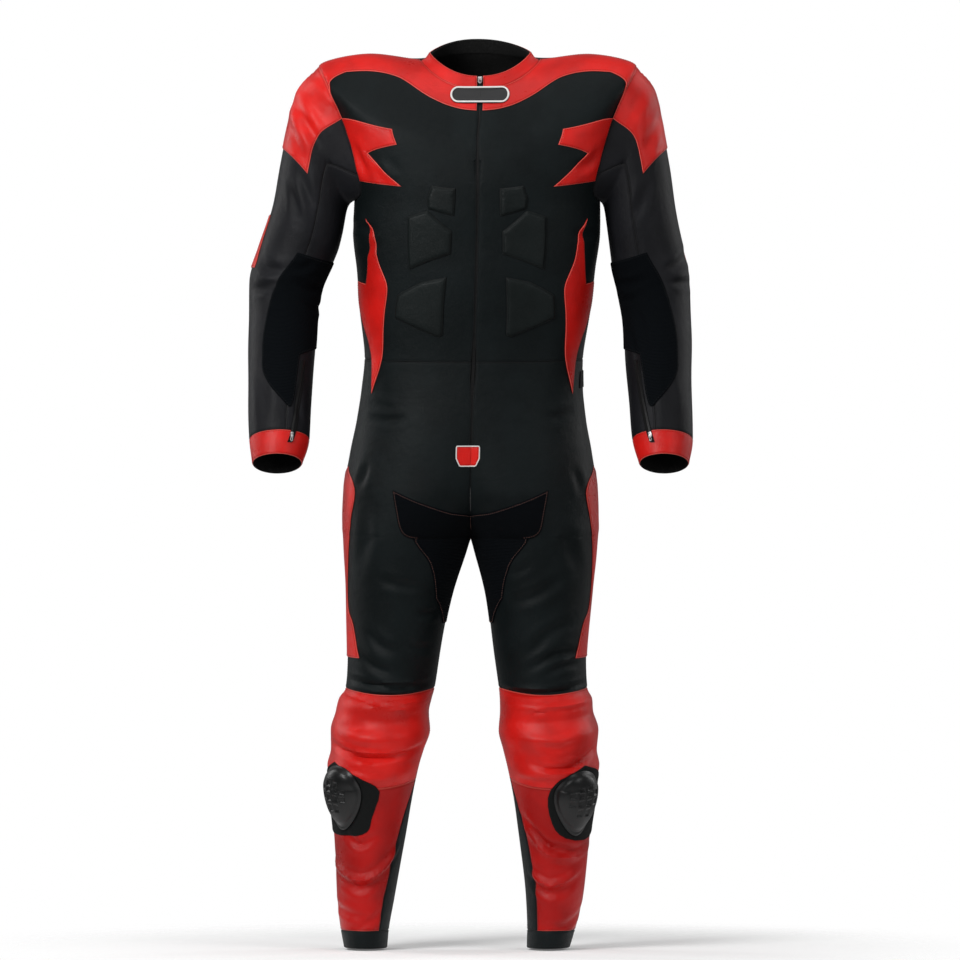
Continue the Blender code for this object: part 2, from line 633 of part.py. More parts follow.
def make_puck(word, side, body):
    """A hard slider on its hook panel, both curved round the knee."""
    size = PUCKS[word]
    centre = find(body, side, size["across"], size["height"])
    upper, lower = (find(body, side, size["across"], size["height"] + way * size["tall"] / 2)
                    for way in (1, -1))
    half_column = body.place(centre[0] + 0.5, centre[1])[0] - body.place(*centre)[0]
    half_width = 0.5 * size["width"] / 2 * MM / half_column.length

    def oval(share, corners=14):
        spots = []
        for k in range(corners):
            angle = 2 * math.pi * k / corners
            tall = (lower[1] - centre[1]) if math.sin(angle) > 0 else (centre[1] - upper[1])
            spots.append((centre[0] + share * half_width * math.cos(angle),
                          centre[1] + share * tall * math.sin(angle)))
        return spots

    patch(f"slider_base_{word}", [cut(body, oval(1.12))], "zip_tape")
    low = 2 * SEAM + PATCH
    domes = [(oval(0.82), 0.72), (oval(0.42), 1.0)]
    piece(f"knee_slider_{word}", [cut(body, oval(1.0), domes)], low, low + PUCK_RIM,
          "hard_plastic", PUCK_CROWN - PUCK_RIM)


# ---- the front zip, its tab, the badge and the forearm zips ----
def halves(forms, outline):
    """Cuts of an outline that crosses the middle line, one for each side."""
    cuts = []
    for side in SIDES.values():
        body = forms[side]["body"]
        kept = clip_to_side([(across * side, height) for across, height in outline])
        cuts.append(cut(body, [centre_or_seen(body, side, corner) for corner in kept]))
    return cuts


def clip_to_side(outline):
    """The part of a closed outline where across is not negative."""
    kept = []
    for (x, h), (next_x, next_h) in zip(outline, outline[1:] + outline[:1]):
        if x >= 0:
            kept.append((x, h))
        if (x > 0) != (next_x > 0) and x != next_x and 0 not in (x, next_x):
            share = x / (x - next_x)
            kept.append((0, h + share * (next_h - h)))
    return kept


def centre_or_seen(body, side, corner):
    across, height = corner
    if across == 0:
        return 0, row_at(body, 0, height * MM - ORIGIN_HEIGHT)
    return find(body, side, across, height)


def stadium(half_width, half_height, centre_height, corners=6):
    """A bar with round ends, as (across, height)."""
    flat = half_width - half_height
    spots = []
    for end, first in ((1, -90), (-1, 90)):
        for k in range(corners + 1):
            angle = math.radians(first + 180 * k / corners)
            spots.append((end * flat + half_height * math.cos(angle),
                          centre_height + half_height * math.sin(angle)))
    return spots


def box(name, size, finish, frame):
    """A small block with bevelled edges, placed by a frame of axes and a centre."""
    bm = bmesh.new()
    bmesh.ops.create_cube(bm, size=1.0)
    bmesh.ops.scale(bm, vec=size, verts=bm.verts)
    bmesh.ops.bevel(bm, geom=bm.edges, offset=min(size) * 0.25, segments=1, affect="EDGES")
    bmesh.ops.triangulate(bm, faces=bm.faces)
    bmesh.ops.transform(bm, matrix=frame, verts=bm.verts)
    return make_object(name, bm, finish)


def frame_on(form, spot, towards, lift):
    """Axes on a form: X across, Y towards a further place, Z outwards, at a lift over it."""
    point, normal = form.place(*spot)
    run = form.place(*towards)[0] - point
    out = normal.normalized()
    down = (run - out * run.dot(out)).normalized()
    across = down.cross(out)
    axes = Matrix((across, down, out)).transposed().to_4x4()
    return Matrix.Translation(point + out * lift) @ axes


def make_front_zip(forms):
    zips = []
    for side in SIDES.values():
        body = forms[side]["body"]
        rows = list(range(0, ROW["seat_top"]))
        foot = row_at(body, 0, ZIP_FOOT * MM - ORIGIN_HEIGHT)
        edge = edge_gap(body, side, [0.1] + rows[1:] + [foot], TAPE)
        zips.append(cut(body, [(0, 0.1)] + edge + [(0, foot)]))
    low = -WALL - SEAM - TAPE_WALL
    piece("front_zip", zips, low, low + TAPE_WALL, "zip_tape")
    patch("zip_tab", halves(forms, TAB))
    badge = stadium(BADGE_HALF_WIDTH, BADGE_HALF_HEIGHT, BADGE_HEIGHT)
    patch("badge", halves(forms, badge), "badge_rubber", level=1)
    make_front_slider(forms[LEFT]["body"])


SLIDER = {"wide": 7.0 * MM, "tall": 9.0 * MM, "deep": 4.4 * MM}
PULL = {"wide": 5.0 * MM, "long": 12.0 * MM, "thick": 1.2 * MM}
SLEEVE_PULL = {"wide": 4.0 * MM, "long": 13.0 * MM, "thick": 1.2 * MM}
PIVOT_INSET = 0.5 * MM  # from a pull's upper end to its pivot
SLIDER_HEIGHT = 1351  # the front slider's middle, above the hems
SLEEVE_SLIDER = {"from_end": 8, "tall": 9, "wide": 5, "rise": 2.2 * MM}


def make_pull(name, size, frame):
    """A pull tab whose pivot, near its upper end, is at the frame's origin and along its X."""
    along = Matrix.Translation((0, size["long"] / 2 - PIVOT_INSET, 0))
    tab = box(name, (size["wide"], size["long"], size["thick"]), "zip_metal", along)
    tab.matrix_world = frame
    return tab


def make_front_slider(body):
    """The front slider runs in the throat, and its pull hangs over the collar."""
    row = row_at(body, 0, SLIDER_HEIGHT * MM - ORIGIN_HEIGHT)
    lift = -WALL + SLIDER["deep"] / 2
    frame = frame_on(body, (0, row), (0, row + 0.3), lift)
    box("zip_slider", (SLIDER["wide"], SLIDER["tall"], SLIDER["deep"]), "zip_metal", frame)
    front = SLIDER["deep"] / 2 + SEAM + PULL["thick"] / 2
    make_pull("zip_pull", PULL, frame @ Matrix.Translation((0, -SLIDER["tall"] / 4, front)))


def make_sleeve_zip(word, side, sleeve):
    """A forearm zip: its tape strip, raised into a slider near the cuff, and the pull on it."""
    (top_x, top_h), (low_x, low_h) = SLEEVE_ZIP
    slope = (low_x - top_x) / (low_h - top_h)

    def strip(upper, lower, half):
        spots = [(upper, -half), (upper, half), (lower, half), (lower, -half)]
        return seen(sleeve, side, [(top_x + slope * (h - top_h) + x, h) for h, x in spots])

    foot = low_h + SLEEVE_SLIDER["from_end"]
    slider = strip(foot + SLEEVE_SLIDER["tall"], foot, SLEEVE_SLIDER["wide"] / 2)
    tape = cut(sleeve, strip(top_h, low_h, ZIP_HALF), [(slider, 1.0)])
    thick = PATCH
    piece(f"sleeve_zip_{word}", [tape], SEAM, SEAM + thick, "zip_tape", SLEEVE_SLIDER["rise"])
    middle = foot + SLEEVE_SLIDER["tall"] / 2
    line = seen(sleeve, side, [(top_x + slope * (h - top_h), h) for h in (middle, low_h)])
    lift = 2 * SEAM + thick + SLEEVE_SLIDER["rise"] + SLEEVE_PULL["thick"] / 2
    make_pull(f"sleeve_zip_pull_{word}", SLEEVE_PULL, frame_on(sleeve, line[0], line[1], lift))


def main():
    clear_scene()
    forms = {side: make_forms(side) for side in SIDES.values()}
    make_trunk(forms)
    make_legs(forms)
    make_sleeves(forms)
    make_patches(forms)
    make_front_zip(forms)


main()
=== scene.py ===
# %% [markdown]
# # A motorcycle race suit
# This notebook dresses a fixed frame, the suit's plain solids, in leather, stretch cloth, thread,
# rubber and plastic. A race suit is cut flat from hides, sewn edge to edge and then takes the
# shape of its rider. So the lesson starts from two smooth surfaces, the trunk with its leg and the
# sleeve, and cuts every panel from them, as a maker cuts every panel from a pattern.

# %% Load the frame
import json
import math
from collections import namedtuple

import bmesh
import bpy
import numpy as np
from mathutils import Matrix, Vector
from mathutils.geometry import delaunay_2d_cdt

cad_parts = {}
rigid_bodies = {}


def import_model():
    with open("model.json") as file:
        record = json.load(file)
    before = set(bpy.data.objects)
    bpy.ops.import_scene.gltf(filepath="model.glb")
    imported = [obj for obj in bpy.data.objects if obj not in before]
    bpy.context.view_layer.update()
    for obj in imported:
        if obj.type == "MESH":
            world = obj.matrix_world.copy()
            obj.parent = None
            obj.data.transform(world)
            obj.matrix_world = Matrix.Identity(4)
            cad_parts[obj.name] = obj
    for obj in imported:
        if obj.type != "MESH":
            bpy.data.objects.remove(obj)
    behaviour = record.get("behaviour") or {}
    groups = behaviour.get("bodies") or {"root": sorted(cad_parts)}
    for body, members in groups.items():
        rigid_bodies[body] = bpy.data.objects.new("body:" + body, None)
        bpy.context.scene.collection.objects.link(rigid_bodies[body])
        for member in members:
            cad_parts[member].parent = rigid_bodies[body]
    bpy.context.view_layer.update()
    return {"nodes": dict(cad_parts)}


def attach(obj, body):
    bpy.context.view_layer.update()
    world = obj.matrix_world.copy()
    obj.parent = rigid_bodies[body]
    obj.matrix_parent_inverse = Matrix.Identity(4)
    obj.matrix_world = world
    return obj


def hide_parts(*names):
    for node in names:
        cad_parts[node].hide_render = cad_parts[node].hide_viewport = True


for thing in list(bpy.data.objects):
    bpy.data.objects.remove(thing, do_unlink=True)

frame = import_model()

# %% [markdown]
# ## Sizes
# Named sizes come first. A sewn suit has only a few: the leather's thickness, how deep a seam
# sinks, and how far a patch stands off the panel below it.

# %% Sizes, metres
MM = 0.001
ORIGIN_HEIGHT = 1370  # millimetres from the hems up to the origin between the shoulders
WALL = 2.0 * MM  # leather with its bonded lining
SEAM_DEPTH = 1.1 * MM  # how far a panel's edge turns down into its seam
PATCH_LOW, PATCH_HIGH = 0.35 * MM, 1.7 * MM  # a patch over the panel it is sewn to
PATCH_EDGE = 0.7 * MM
HALF_GAP = 0.02 * MM  # half the free gap in a seam
SLIT, THROAT, TAPE = 1.0 * MM, 4.6 * MM, 13 * MM  # half widths at the front zip
EDGE_STEP, LATTICE = 4.2 * MM, 5.8 * MM  # mesh spacing along a seam and inside a panel
SEAM_LOOPS = (0.6 * MM, 1.7 * MM, 3.6 * MM)  # lines of points beside each seam
COLUMNS, SIDE = 14, 7
LEFT, RIGHT = 1, -1
SIDES = {"left": LEFT, "right": RIGHT}

# %% [markdown]
# ## The two surfaces
# A lofted form is a stack of rings. Each ring is a superellipse: an ellipse with a power that
# squares it off, as a chest is squarer than a thigh. The rings are short rows in a table, and a
# monotone cubic joins them, because an ordinary spline would overshoot at the grooves of the knee.
# Blender could loft these as curves, but a formula also gives the place of every seam.

# %% The trunk and leg, millimetres
# Heights are above the hems. inner, middle and outer are distances from the suit's middle line,
# which leans sideways by lean. A ring whose inner reach passes the middle line stops there.
Ring = namedtuple("Ring", "name front_h side_h back_h inner middle outer front back lean power")
RINGS = [
    Ring("collar_top", 1357, 1390, 1407, -78, 0, 78, 66, 70, 11.0, 2.2),
    Ring("collar_seam", 1336, 1377, 1386, -93, 0, 93, 79, 82, 11.0, 2.2),
    Ring("yoke", 1298, 1385, 1352, -165, 0, 165, 106, 110, 10.0, 2.3),
    Ring("shoulder", 1258, 1366, 1305, -245, 0, 245, 124, 124, 7.0, 2.5),
    Ring("blades", 1222, 1295, 1262, -222, 0, 222, 131, 130, 7.0, 2.5),
    Ring("chest", 1184, 1223, 1215, -201, 0, 201, 134, 130, 7.0, 2.5),
    Ring("armpit", 1145, 1165, 1165, -190, 0, 190, 133, 127, 6.5, 2.5),
    Ring("ribs", 1103, 1108, 1108, -191, 0, 191, 130, 122, 6.0, 2.5),
    Ring("belly_top", 1050, 1050, 1050, -185, 0, 185, 127, 117, 5.0, 2.5),
    Ring("belly", 1000, 1000, 1000, -180, 0, 180, 122, 112, 3.5, 2.5),
    Ring("waist", 914, 914, 914, -169, 0, 169, 115, 108, 1.0, 2.5),
    Ring("hip_top", 868, 868, 868, -150, 8, 171, 116, 114, -1.0, 2.4),
    Ring("hip", 820, 820, 820, -120, 22, 177, 119, 124, -2.0, 2.3),
    Ring("seat_top", 768, 768, 768, -85, 42, 188, 122, 134, -3.0, 2.2),
    Ring("seat", 715, 715, 715, -58, 62, 196, 123, 138, -4.0, 2.1),
    Ring("fork_top", 675, 675, 675, -27, 84, 197, 119, 134, -4.0, 2.0),
    Ring("fork_low", 652, 652, 652, -8, 96, 197, 115, 128, -3.5, 2.0),
    Ring("fork", 640, 640, 640, 0, 100, 196, 113, 124, -3.5, 2.0),
    Ring("thigh_top", 606, 606, 606, 11, 103, 194, 108, 114, -4.0, 2.0),
    Ring("thigh", 556, 556, 556, 25, 108, 190, 102, 102, -5.5, 2.0),
    Ring("thigh_low", 452, 452, 452, 43, 114, 185, 91, 82, -9.5, 2.0),
    Ring("roll_top", 396, 404, 404, 50, 118, 187, 88, 74, -10.5, 2.0),
    Ring("roll_1", 376, 386, 386, 53, 124, 196, 103, 70, -12.0, 2.2),
    Ring("groove_1", 354, 366, 366, 55, 127, 199, 98, 68, -13.5, 2.2),
    Ring("roll_2", 328, 338, 338, 53, 130, 207, 110, 66, -13.0, 2.2),
    Ring("groove_2", 297, 309, 309, 61, 134, 206, 101, 66, -14.0, 2.2),
    Ring("roll_3", 272, 284, 284, 68, 139, 211, 104, 68, -15.0, 2.2),
    Ring("roll_end", 250, 262, 262, 73, 142, 208, 92, 70, -15.5, 2.1),
    Ring("shin_top", 222, 226, 226, 80, 142, 205, 84, 76, -16.0, 2.0),
    Ring("calf", 180, 180, 180, 87, 143, 199, 76, 80, -16.5, 2.0),
    Ring("shin_low", 80, 80, 80, 101, 146, 190, 62, 62, -20.0, 2.0),
    Ring("hem_seam", 28, 28, 28, 107, 144, 181, 57, 54, -23.0, 2.0),
    Ring("hem", 0, 0, 0, 108, 142, 175, 54, 50, -24.5, 2.0),
]
ROW = {ring.name: row for row, ring in enumerate(RINGS)}
FORK = ROW["fork"]  # below this row each leg is a closed tube
print("trunk", len(RINGS), "rings, the lowest at", RINGS[-1].front_h, "mm")

# %% The sleeve, millimetres
# A ring runs from its inner point, next to the trunk, round its front to its outer point.
SleeveRing = namedtuple("SleeveRing", "in_x in_h out_x out_h front back rise lean")
SLEEVE_RINGS = [
    SleeveRing(199, 1148, 275, 1331, -64, 66, 0, 4.5),
    SleeveRing(206, 1107, 301, 1218, -66, 68, 0, 3.0),
    SleeveRing(210, 1084, 313, 1150, -64, 66, 0, 1.5),
    SleeveRing(217, 1056, 329, 1086, -62, 64, 2, -2.0),
    SleeveRing(229, 1020, 341, 1034, -63, 58, 9, -5.0),
    SleeveRing(237, 974, 343, 979, -78, 36, 18, -5.0),
    SleeveRing(240, 925, 344, 928, -101, 7, 21, -4.5),
    SleeveRing(246, 850, 344, 851, -132, -33, 20, -4.0),
    SleeveRing(250, 794, 344, 794, -148, -60, 18, -3.0),
    SleeveRing(261, 757, 339, 757, -158, -78, 18, -4.0),
]
CUFF_SEAM, CUFF_END = len(SLEEVE_RINGS) - 1, len(SLEEVE_RINGS)
ARMHOLE = {"column": 7.0, "row": 4.5, "half_columns": 2.0, "half_rows": 1.5, "power": 4.0}
print("sleeve", len(SLEEVE_RINGS), "rings")


# %% [markdown]
# ## From a place to a point
# A place on a surface is a column and a row, like a spot on a cutting table. `at` turns arrays of
# places into points in space. Everything works on whole numpy arrays, which is why a quarter of a
# million points take seconds: a Python loop over single vertices would take minutes.

# %% Smooth rings
def rounded(share, power):
    """A superellipse's reach for the sine or cosine of an angle."""
    return np.sign(share) * np.abs(share) ** (2 / power)


def slopes_of(table):
    """Slopes at a table's rows that never overshoot a monotone cubic."""
    steps = np.diff(table, axis=0)
    slopes = np.zeros_like(table)
    above, below = steps[:-1], steps[1:]
    both = above + below
    same = above * below > 0
    slopes[1:-1] = np.where(same, 2 * above * below / np.where(same, both, 1), 0)
    slopes[0], slopes[-1] = steps[0], steps[-1]
    return slopes


def between(table, slopes, row):
    """A table's values between its rows. A 3-D table has its own values for each sample."""
    start = np.clip(row.astype(int), 0, len(table) - 2)
    part = (row - start)[:, None]
    spot = (start,) if table.ndim == 2 else (start, np.arange(len(row)))
    after = (start + 1,) + spot[1:]
    square, cube = part ** 2, part ** 3
    return ((2 * cube - 3 * square + 1) * table[spot] + (cube - 2 * square + part) * slopes[spot]
            + (3 * square - 2 * cube) * table[after] + (cube - square) * slopes[after])


TRUNK_TABLE = np.array([ring[1:] for ring in RINGS], float)
TRUNK_SLOPES = slopes_of(TRUNK_TABLE)


def trunk_at(side, column, row):
    """Points of the trunk and leg at columns 0 (centre front or inseam) to 14, and at rows."""
    values = between(TRUNK_TABLE, TRUNK_SLOPES, row).T
    front_h, side_h, back_h, inner, middle, outer, front, back, lean, power = values
    reach = middle - inner
    start = np.arccos(np.clip(middle / reach, 0, 1) ** (power / 2))
    angle = start + column / COLUMNS * (2 * np.pi - 2 * start)
    across, along = rounded(np.cos(angle), power), rounded(np.sin(angle), power)
    x = middle - across * np.where(across > 0, reach, outer - middle)
    y = -along * np.where(along > 0, front, back)
    height = side_h + (np.where(along > 0, front_h, back_h) - side_h) * along ** 2
    return np.stack([lean + side * x, y, height - ORIGIN_HEIGHT], 1) * MM


def sleeve_at(side, column, row):
    """Points of a sleeve at columns 0 (next to the trunk) to 14, and at rows from the armhole."""
    angle = 2 * np.pi * column / COLUMNS
    hole = ARMHOLE
    hole_column = hole["column"] - hole["half_columns"] * rounded(np.sin(angle), hole["power"])
    hole_row = hole["row"] + hole["half_rows"] * rounded(np.cos(angle), hole["power"])
    rings = [trunk_at(side, hole_column, hole_row)]
    out = (1 - np.cos(angle)) / 2
    for ring in SLEEVE_RINGS:
        x = ring.in_x + out * (ring.out_x - ring.in_x)
        y = (ring.front + ring.back) / 2 - (ring.back - ring.front) / 2 * np.sin(angle)
        height = ring.in_h + out * (ring.out_h - ring.in_h) + ring.rise * np.sin(angle)
        rings.append(np.stack([ring.lean + side * x, y, height - ORIGIN_HEIGHT], 1) * MM)
    table = np.stack(rings)
    return between(table, slopes_of(table), row)


# %% A surface with normals and a way back from the front view
class Surface:
    """One side's trunk or sleeve. A place is a column and a row."""

    def __init__(self, side, rows, at, heights, leans):
        self.side, self.rows, self.at_side = side, rows, at
        self.heights, self.leans = heights[::-1], leans[::-1]
        self.turn = 1.0
        self.turn = np.sign(self.normal(np.array([7.0]), np.array([rows * 0.45]))[0, 0] * side)
        self.columns = np.arange(0, COLUMNS + 4, 1 / 12)
        self.fine_rows = np.linspace(0, rows, rows * 12 + 1)
        column, row = np.meshgrid(self.columns, self.fine_rows, indexing="ij")
        levels = self.at(column.ravel(), row.ravel())[:, 2].reshape(column.shape)
        self.drops = np.maximum.accumulate(-levels, axis=1)
        widest = np.abs(np.diff(self.walk(np.arange(0, 14.0)), axis=0)).max(axis=1)
        self.down = np.concatenate([[0], np.cumsum(widest)])

    def at(self, column, row):
        return self.at_side(self.side, np.asarray(column, float), np.asarray(row, float))

    def walk(self, columns):
        """How far each column runs from fine row to fine row, metres, summed as it goes."""
        runs = []
        for column in columns:
            points = self.at(np.full(len(self.fine_rows), column), self.fine_rows)
            lengths = np.linalg.norm(np.diff(points, axis=0), axis=1)
            runs.append(np.concatenate([[0], np.cumsum(lengths)]))
        return np.array(runs).T

    def slopes(self, column, row):
        """How a point moves for a column, and for a row."""
        step = 0.01
        low, high = np.maximum(row - step, 0), np.minimum(row + step, self.rows)
        across = (self.at(column + step, row) - self.at(column - step, row)) / (2 * step)
        down = (self.at(column, high) - self.at(column, low)) / (high - low)[:, None]
        return across, down

    def normal(self, column, row):
        across, down = self.slopes(np.asarray(column, float), np.asarray(row, float))
        normals = np.cross(across, down) * self.turn
        return normals / np.linalg.norm(normals, axis=1)[:, None]

    def level_rows(self, height):
        """The row where each fine column passes a height, in millimetres above the hems."""
        drop = (ORIGIN_HEIGHT - height) * MM
        return np.array([np.interp(drop, drops, self.fine_rows) for drops in self.drops])

    def find(self, across, height):
        """The place seen from the front. Past the outline, across walks on round the side."""
        rows = self.level_rows(height)
        points = self.at(self.columns, rows)
        lean = np.interp(height, self.heights, self.leans) * MM * self.side
        reach = points[:, 0] * self.side
        widest = int(np.argmax(reach[:len(reach) * 2 // 3]))
        lengths = np.linalg.norm(np.diff(points, axis=0), axis=1)
        walked = reach.copy()
        walked[widest:] = reach[widest] + np.concatenate([[0], np.cumsum(lengths[widest:])])
        column = np.interp(lean + across * MM, walked, self.columns)
        return column, np.interp(column, self.columns, rows)

    def seen(self, places):
        return [self.find(across, height) for across, height in places]

    def row_at(self, column, height):
        return np.interp(column, self.columns, self.level_rows(height))

    def off_middle(self, row, gap):
        """The column where a row is a gap away from the middle line, in metres."""
        columns = np.linspace(0, SIDE, 400)
        points = self.at(columns, np.full(400, float(row)))
        return np.interp(gap, (points[:, 0] - points[0, 0]) * self.side, columns)


# %% The four surfaces
TRUNK, SLEEVE = {}, {}
for side in SIDES.values():
    TRUNK[side] = Surface(side, len(RINGS) - 1, trunk_at,
                          [ring.front_h for ring in RINGS], [ring.lean for ring in RINGS])
    SLEEVE[side] = Surface(side, CUFF_END, sleeve_at,
                           [ring.in_h for ring in SLEEVE_RINGS],
                           [ring.lean for ring in SLEEVE_RINGS])
print("trunk column runs", round(float(TRUNK[LEFT].down[-1]), 3), "m down")


# %% [markdown]
# ## Creases
# Leather that hangs round a body folds where the body bends: in front of the armpit, inside the
# elbow, at the hip, and above and below the knee. A sculptor would draw each fold by hand. Here a
# fold is a stroke: a curved line on a surface with a depth and a width. Points near the line sink
# by a soft profile with raised lips, so light finds both the trough and its shoulders. No two
# strokes have the same length, depth or spacing, since cloth never folds evenly.

# %% One fold
Fold = namedtuple("Fold", "points normals depth width low high")
FOLDS = []
FOLD_SHARE = 1.3  # how much of each written depth the leather takes
# Direction, phase and height in millimetres of the waves that keep a panel from lying dead flat.
WAVES = (((31, 17, 23), 0.3, 0.45), ((-19, 37, 41), 1.9, 0.35), ((53, -29, 13), 4.2, 0.25))


def curve_through(places, steps=7):
    """A smooth line of places through a few given ones."""
    knots = np.array(places, float)
    if len(knots) == 2:
        share = np.linspace(0, 1, 2 * steps)[:, None]
        return knots[0] + (knots[1] - knots[0]) * share
    ends = [2 * knots[0] - knots[1], *knots, 2 * knots[-1] - knots[-2]]
    line = []
    for a, b, c, d in zip(ends, ends[1:], ends[2:], ends[3:]):
        for part in np.linspace(0, 1, steps, endpoint=False):
            line.append(0.5 * ((2 * b) + (c - a) * part + (2 * a - 5 * b + 4 * c - d) * part ** 2
                               + (3 * b - a - 3 * c + d) * part ** 3))
    return np.array(line + [knots[-1]])


def add_fold(surface, places, depth, width):
    """A trough along a line of places, or a ridge where depth is negative, in millimetres."""
    line = curve_through(places)
    points = surface.at(line[:, 0], line[:, 1])
    reach = 3.2 * width * MM
    FOLDS.append(Fold(points, surface.normal(line[:, 0], line[:, 1]), FOLD_SHARE * depth * MM, width * MM,
                      points.min(0) - reach, points.max(0) + reach))


def relief(points, normals):
    """How far the folds and the leather's own unevenness lift each point."""
    total = sum(np.sin(points @ np.array(wave) + phase) * size for wave, phase, size in WAVES) * MM
    for fold in FOLDS:
        near = np.all((points > fold.low) & (points < fold.high), axis=1)
        if not near.any():
            continue
        starts, ends = fold.points[:-1], fold.points[1:]
        runs = ends - starts
        squares = (runs ** 2).sum(1)
        spots = points[near][:, None, :] - starts[None]
        part = np.clip((spots * runs).sum(2) / squares, 0, 1)
        gaps = np.linalg.norm(spots - part[:, :, None] * runs, axis=2)
        nearest = gaps.argmin(1)
        rows = np.arange(len(nearest))
        gap = gaps[rows, nearest] / fold.width
        along = (nearest + part[rows, nearest]) / len(runs)
        taper = np.sin(np.pi * np.clip(along, 0.02, 0.98)) ** 0.7
        facing = np.clip((normals[near] * fold.normals[nearest]).sum(1) * 2 - 0.4, 0, 1)
        shape = -np.exp(-gap ** 2) + 0.4 * np.exp(-((gap - 1.9) / 0.8) ** 2)
        total[near] += fold.depth * taper * facing * shape
    return total


# %% [markdown]
# The folds that the front shows are placed by how far they lie from the middle line and how high
# they are above the hems. Folds on the sides and back are placed by column and row instead.

# %% Folds seen from the front
# Each row holds (across, height) places, depth and width, all in millimetres.
FRONT_CREASES = {
    ("sleeve", RIGHT): [
        ([(271, 1208), (263, 1178), (251, 1146)], 3.0, 8),
        ([(286, 1190), (279, 1160), (276, 1128)], 2.2, 7),
        ([(332, 1066), (312, 1056), (290, 1052)], 3.6, 8),
        ([(338, 1022), (318, 1026), (296, 1036)], 2.6, 7),
        ([(246, 1066), (262, 1058), (282, 1060)], 2.2, 6),
        ([(330, 905), (321, 868), (319, 832)], 1.8, 9),
        ([(262, 822), (268, 846), (264, 878)], 1.6, 6),
        ([(261, 1343), (232, 1327), (214, 1308)], -2.8, 9),
        ([(287, 1296), (271, 1268), (253, 1229)], -2.6, 8),
        ([(283, 1314), (263, 1284), (239, 1246)], 3.0, 7),
        ([(262, 1318), (244, 1300), (232, 1284)], 1.6, 6),
    ],
    ("sleeve", LEFT): [
        ([(268, 1196), (259, 1164), (248, 1136)], 2.2, 8),
        ([(334, 1078), (318, 1060), (300, 1052)], 3.2, 8),
        ([(342, 1030), (322, 1034), (300, 1042)], 2.2, 6),
        ([(258, 996), (268, 968), (271, 934)], 2.2, 6),
        ([(248, 964), (257, 932), (262, 896)], 1.8, 5),
        ([(300, 898), (309, 872), (312, 842)], 1.5, 8),
        ([(270, 1322), (256, 1296), (246, 1262)], -1.8, 9),
        ([(290, 1290), (272, 1262), (262, 1236)], 2.0, 8),
    ],
    ("trunk", RIGHT): [
        ([(190, 1252), (181, 1226), (168, 1204)], 3.8, 8),
        ([(150, 1226), (140, 1210), (128, 1196)], -2.0, 8),
        ([(192, 1119), (178, 1122), (158, 1119)], 3.0, 6),
        ([(184, 1082), (168, 1088), (146, 1100)], 1.8, 7),
        ([(158, 826), (133, 823), (104, 826)], 2.6, 6),
        ([(160, 850), (140, 842), (118, 838)], 1.4, 7),
        ([(160, 756), (166, 738), (172, 718)], 3.0, 8),
        ([(160, 690), (160, 640), (170, 596)], 2.6, 12),
        ([(140, 576), (105, 567), (76, 562)], 2.4, 7),
        ([(80, 524), (62, 521), (46, 526)], 2.0, 6),
        ([(156, 496), (136, 474), (108, 461)], 3.0, 7),
        ([(166, 459), (142, 439), (112, 429)], 3.2, 6),
        ([(98, 482), (80, 470), (58, 468)], 2.0, 6),
        ([(181, 420), (121, 408), (56, 414)], 2.6, 4),
        ([(194, 399), (169, 391), (95, 379), (62, 377)], 1.8, 3.2),
        ([(206, 322), (165, 301), (124, 299), (64, 318)], 3.4, 5),
        ([(186, 338), (160, 330), (128, 326)], -1.8, 8),
        ([(196, 348), (176, 346), (160, 350)], 1.4, 5),
        ([(180, 283), (150, 274), (110, 273)], 1.4, 5),
        ([(187, 184), (160, 163), (132, 177)], 3.0, 6),
        ([(196, 134), (157, 108), (121, 127), (98, 160)], -3.4, 5),
        ([(190, 116), (157, 94), (124, 108)], 2.4, 7),
        ([(190, 68), (162, 52), (130, 44)], 2.4, 6),
        ([(168, 33), (144, 38), (122, 56)], 2.0, 5),
    ],
    ("trunk", LEFT): [
        ([(186, 1240), (172, 1222), (152, 1216)], 3.0, 8),
        ([(188, 1112), (172, 1110), (150, 1116)], 2.0, 7),
        ([(160, 838), (136, 828), (112, 830)], 1.8, 7),
        ([(158, 748), (166, 730), (172, 706)], 2.0, 8),
        ([(150, 660), (156, 624), (168, 588)], 1.8, 11),
        ([(66, 539), (106, 553), (146, 580)], 2.4, 8),
        ([(60, 583), (78, 590), (96, 604)], 1.4, 6),
        ([(92, 456), (124, 490), (164, 512)], 2.6, 8),
        ([(92, 434), (137, 459), (166, 463)], 3.4, 6),
        ([(122, 428), (148, 441), (172, 444)], 2.4, 5),
        ([(52, 405), (110, 398), (184, 414)], 2.6, 4),
        ([(90, 366), (141, 371), (194, 380)], 1.8, 3.2),
        ([(104, 290), (159, 283), (204, 316)], 3.2, 5),
        ([(96, 341), (132, 336), (170, 343)], 1.6, 7),
        ([(110, 322), (146, 314), (182, 328)], 1.8, 6),
        ([(88, 266), (120, 262), (156, 264)], 1.4, 5),
        ([(92, 208), (121, 171), (152, 157), (190, 152)], 3.0, 6),
        ([(100, 186), (130, 152), (164, 142), (198, 160)], -2.2, 5),
        ([(105, 122), (141, 101), (186, 126)], -3.2, 5),
        ([(108, 106), (142, 86), (180, 106)], 2.4, 6),
        ([(128, 34), (165, 36), (188, 62)], 2.2, 6),
    ],
}

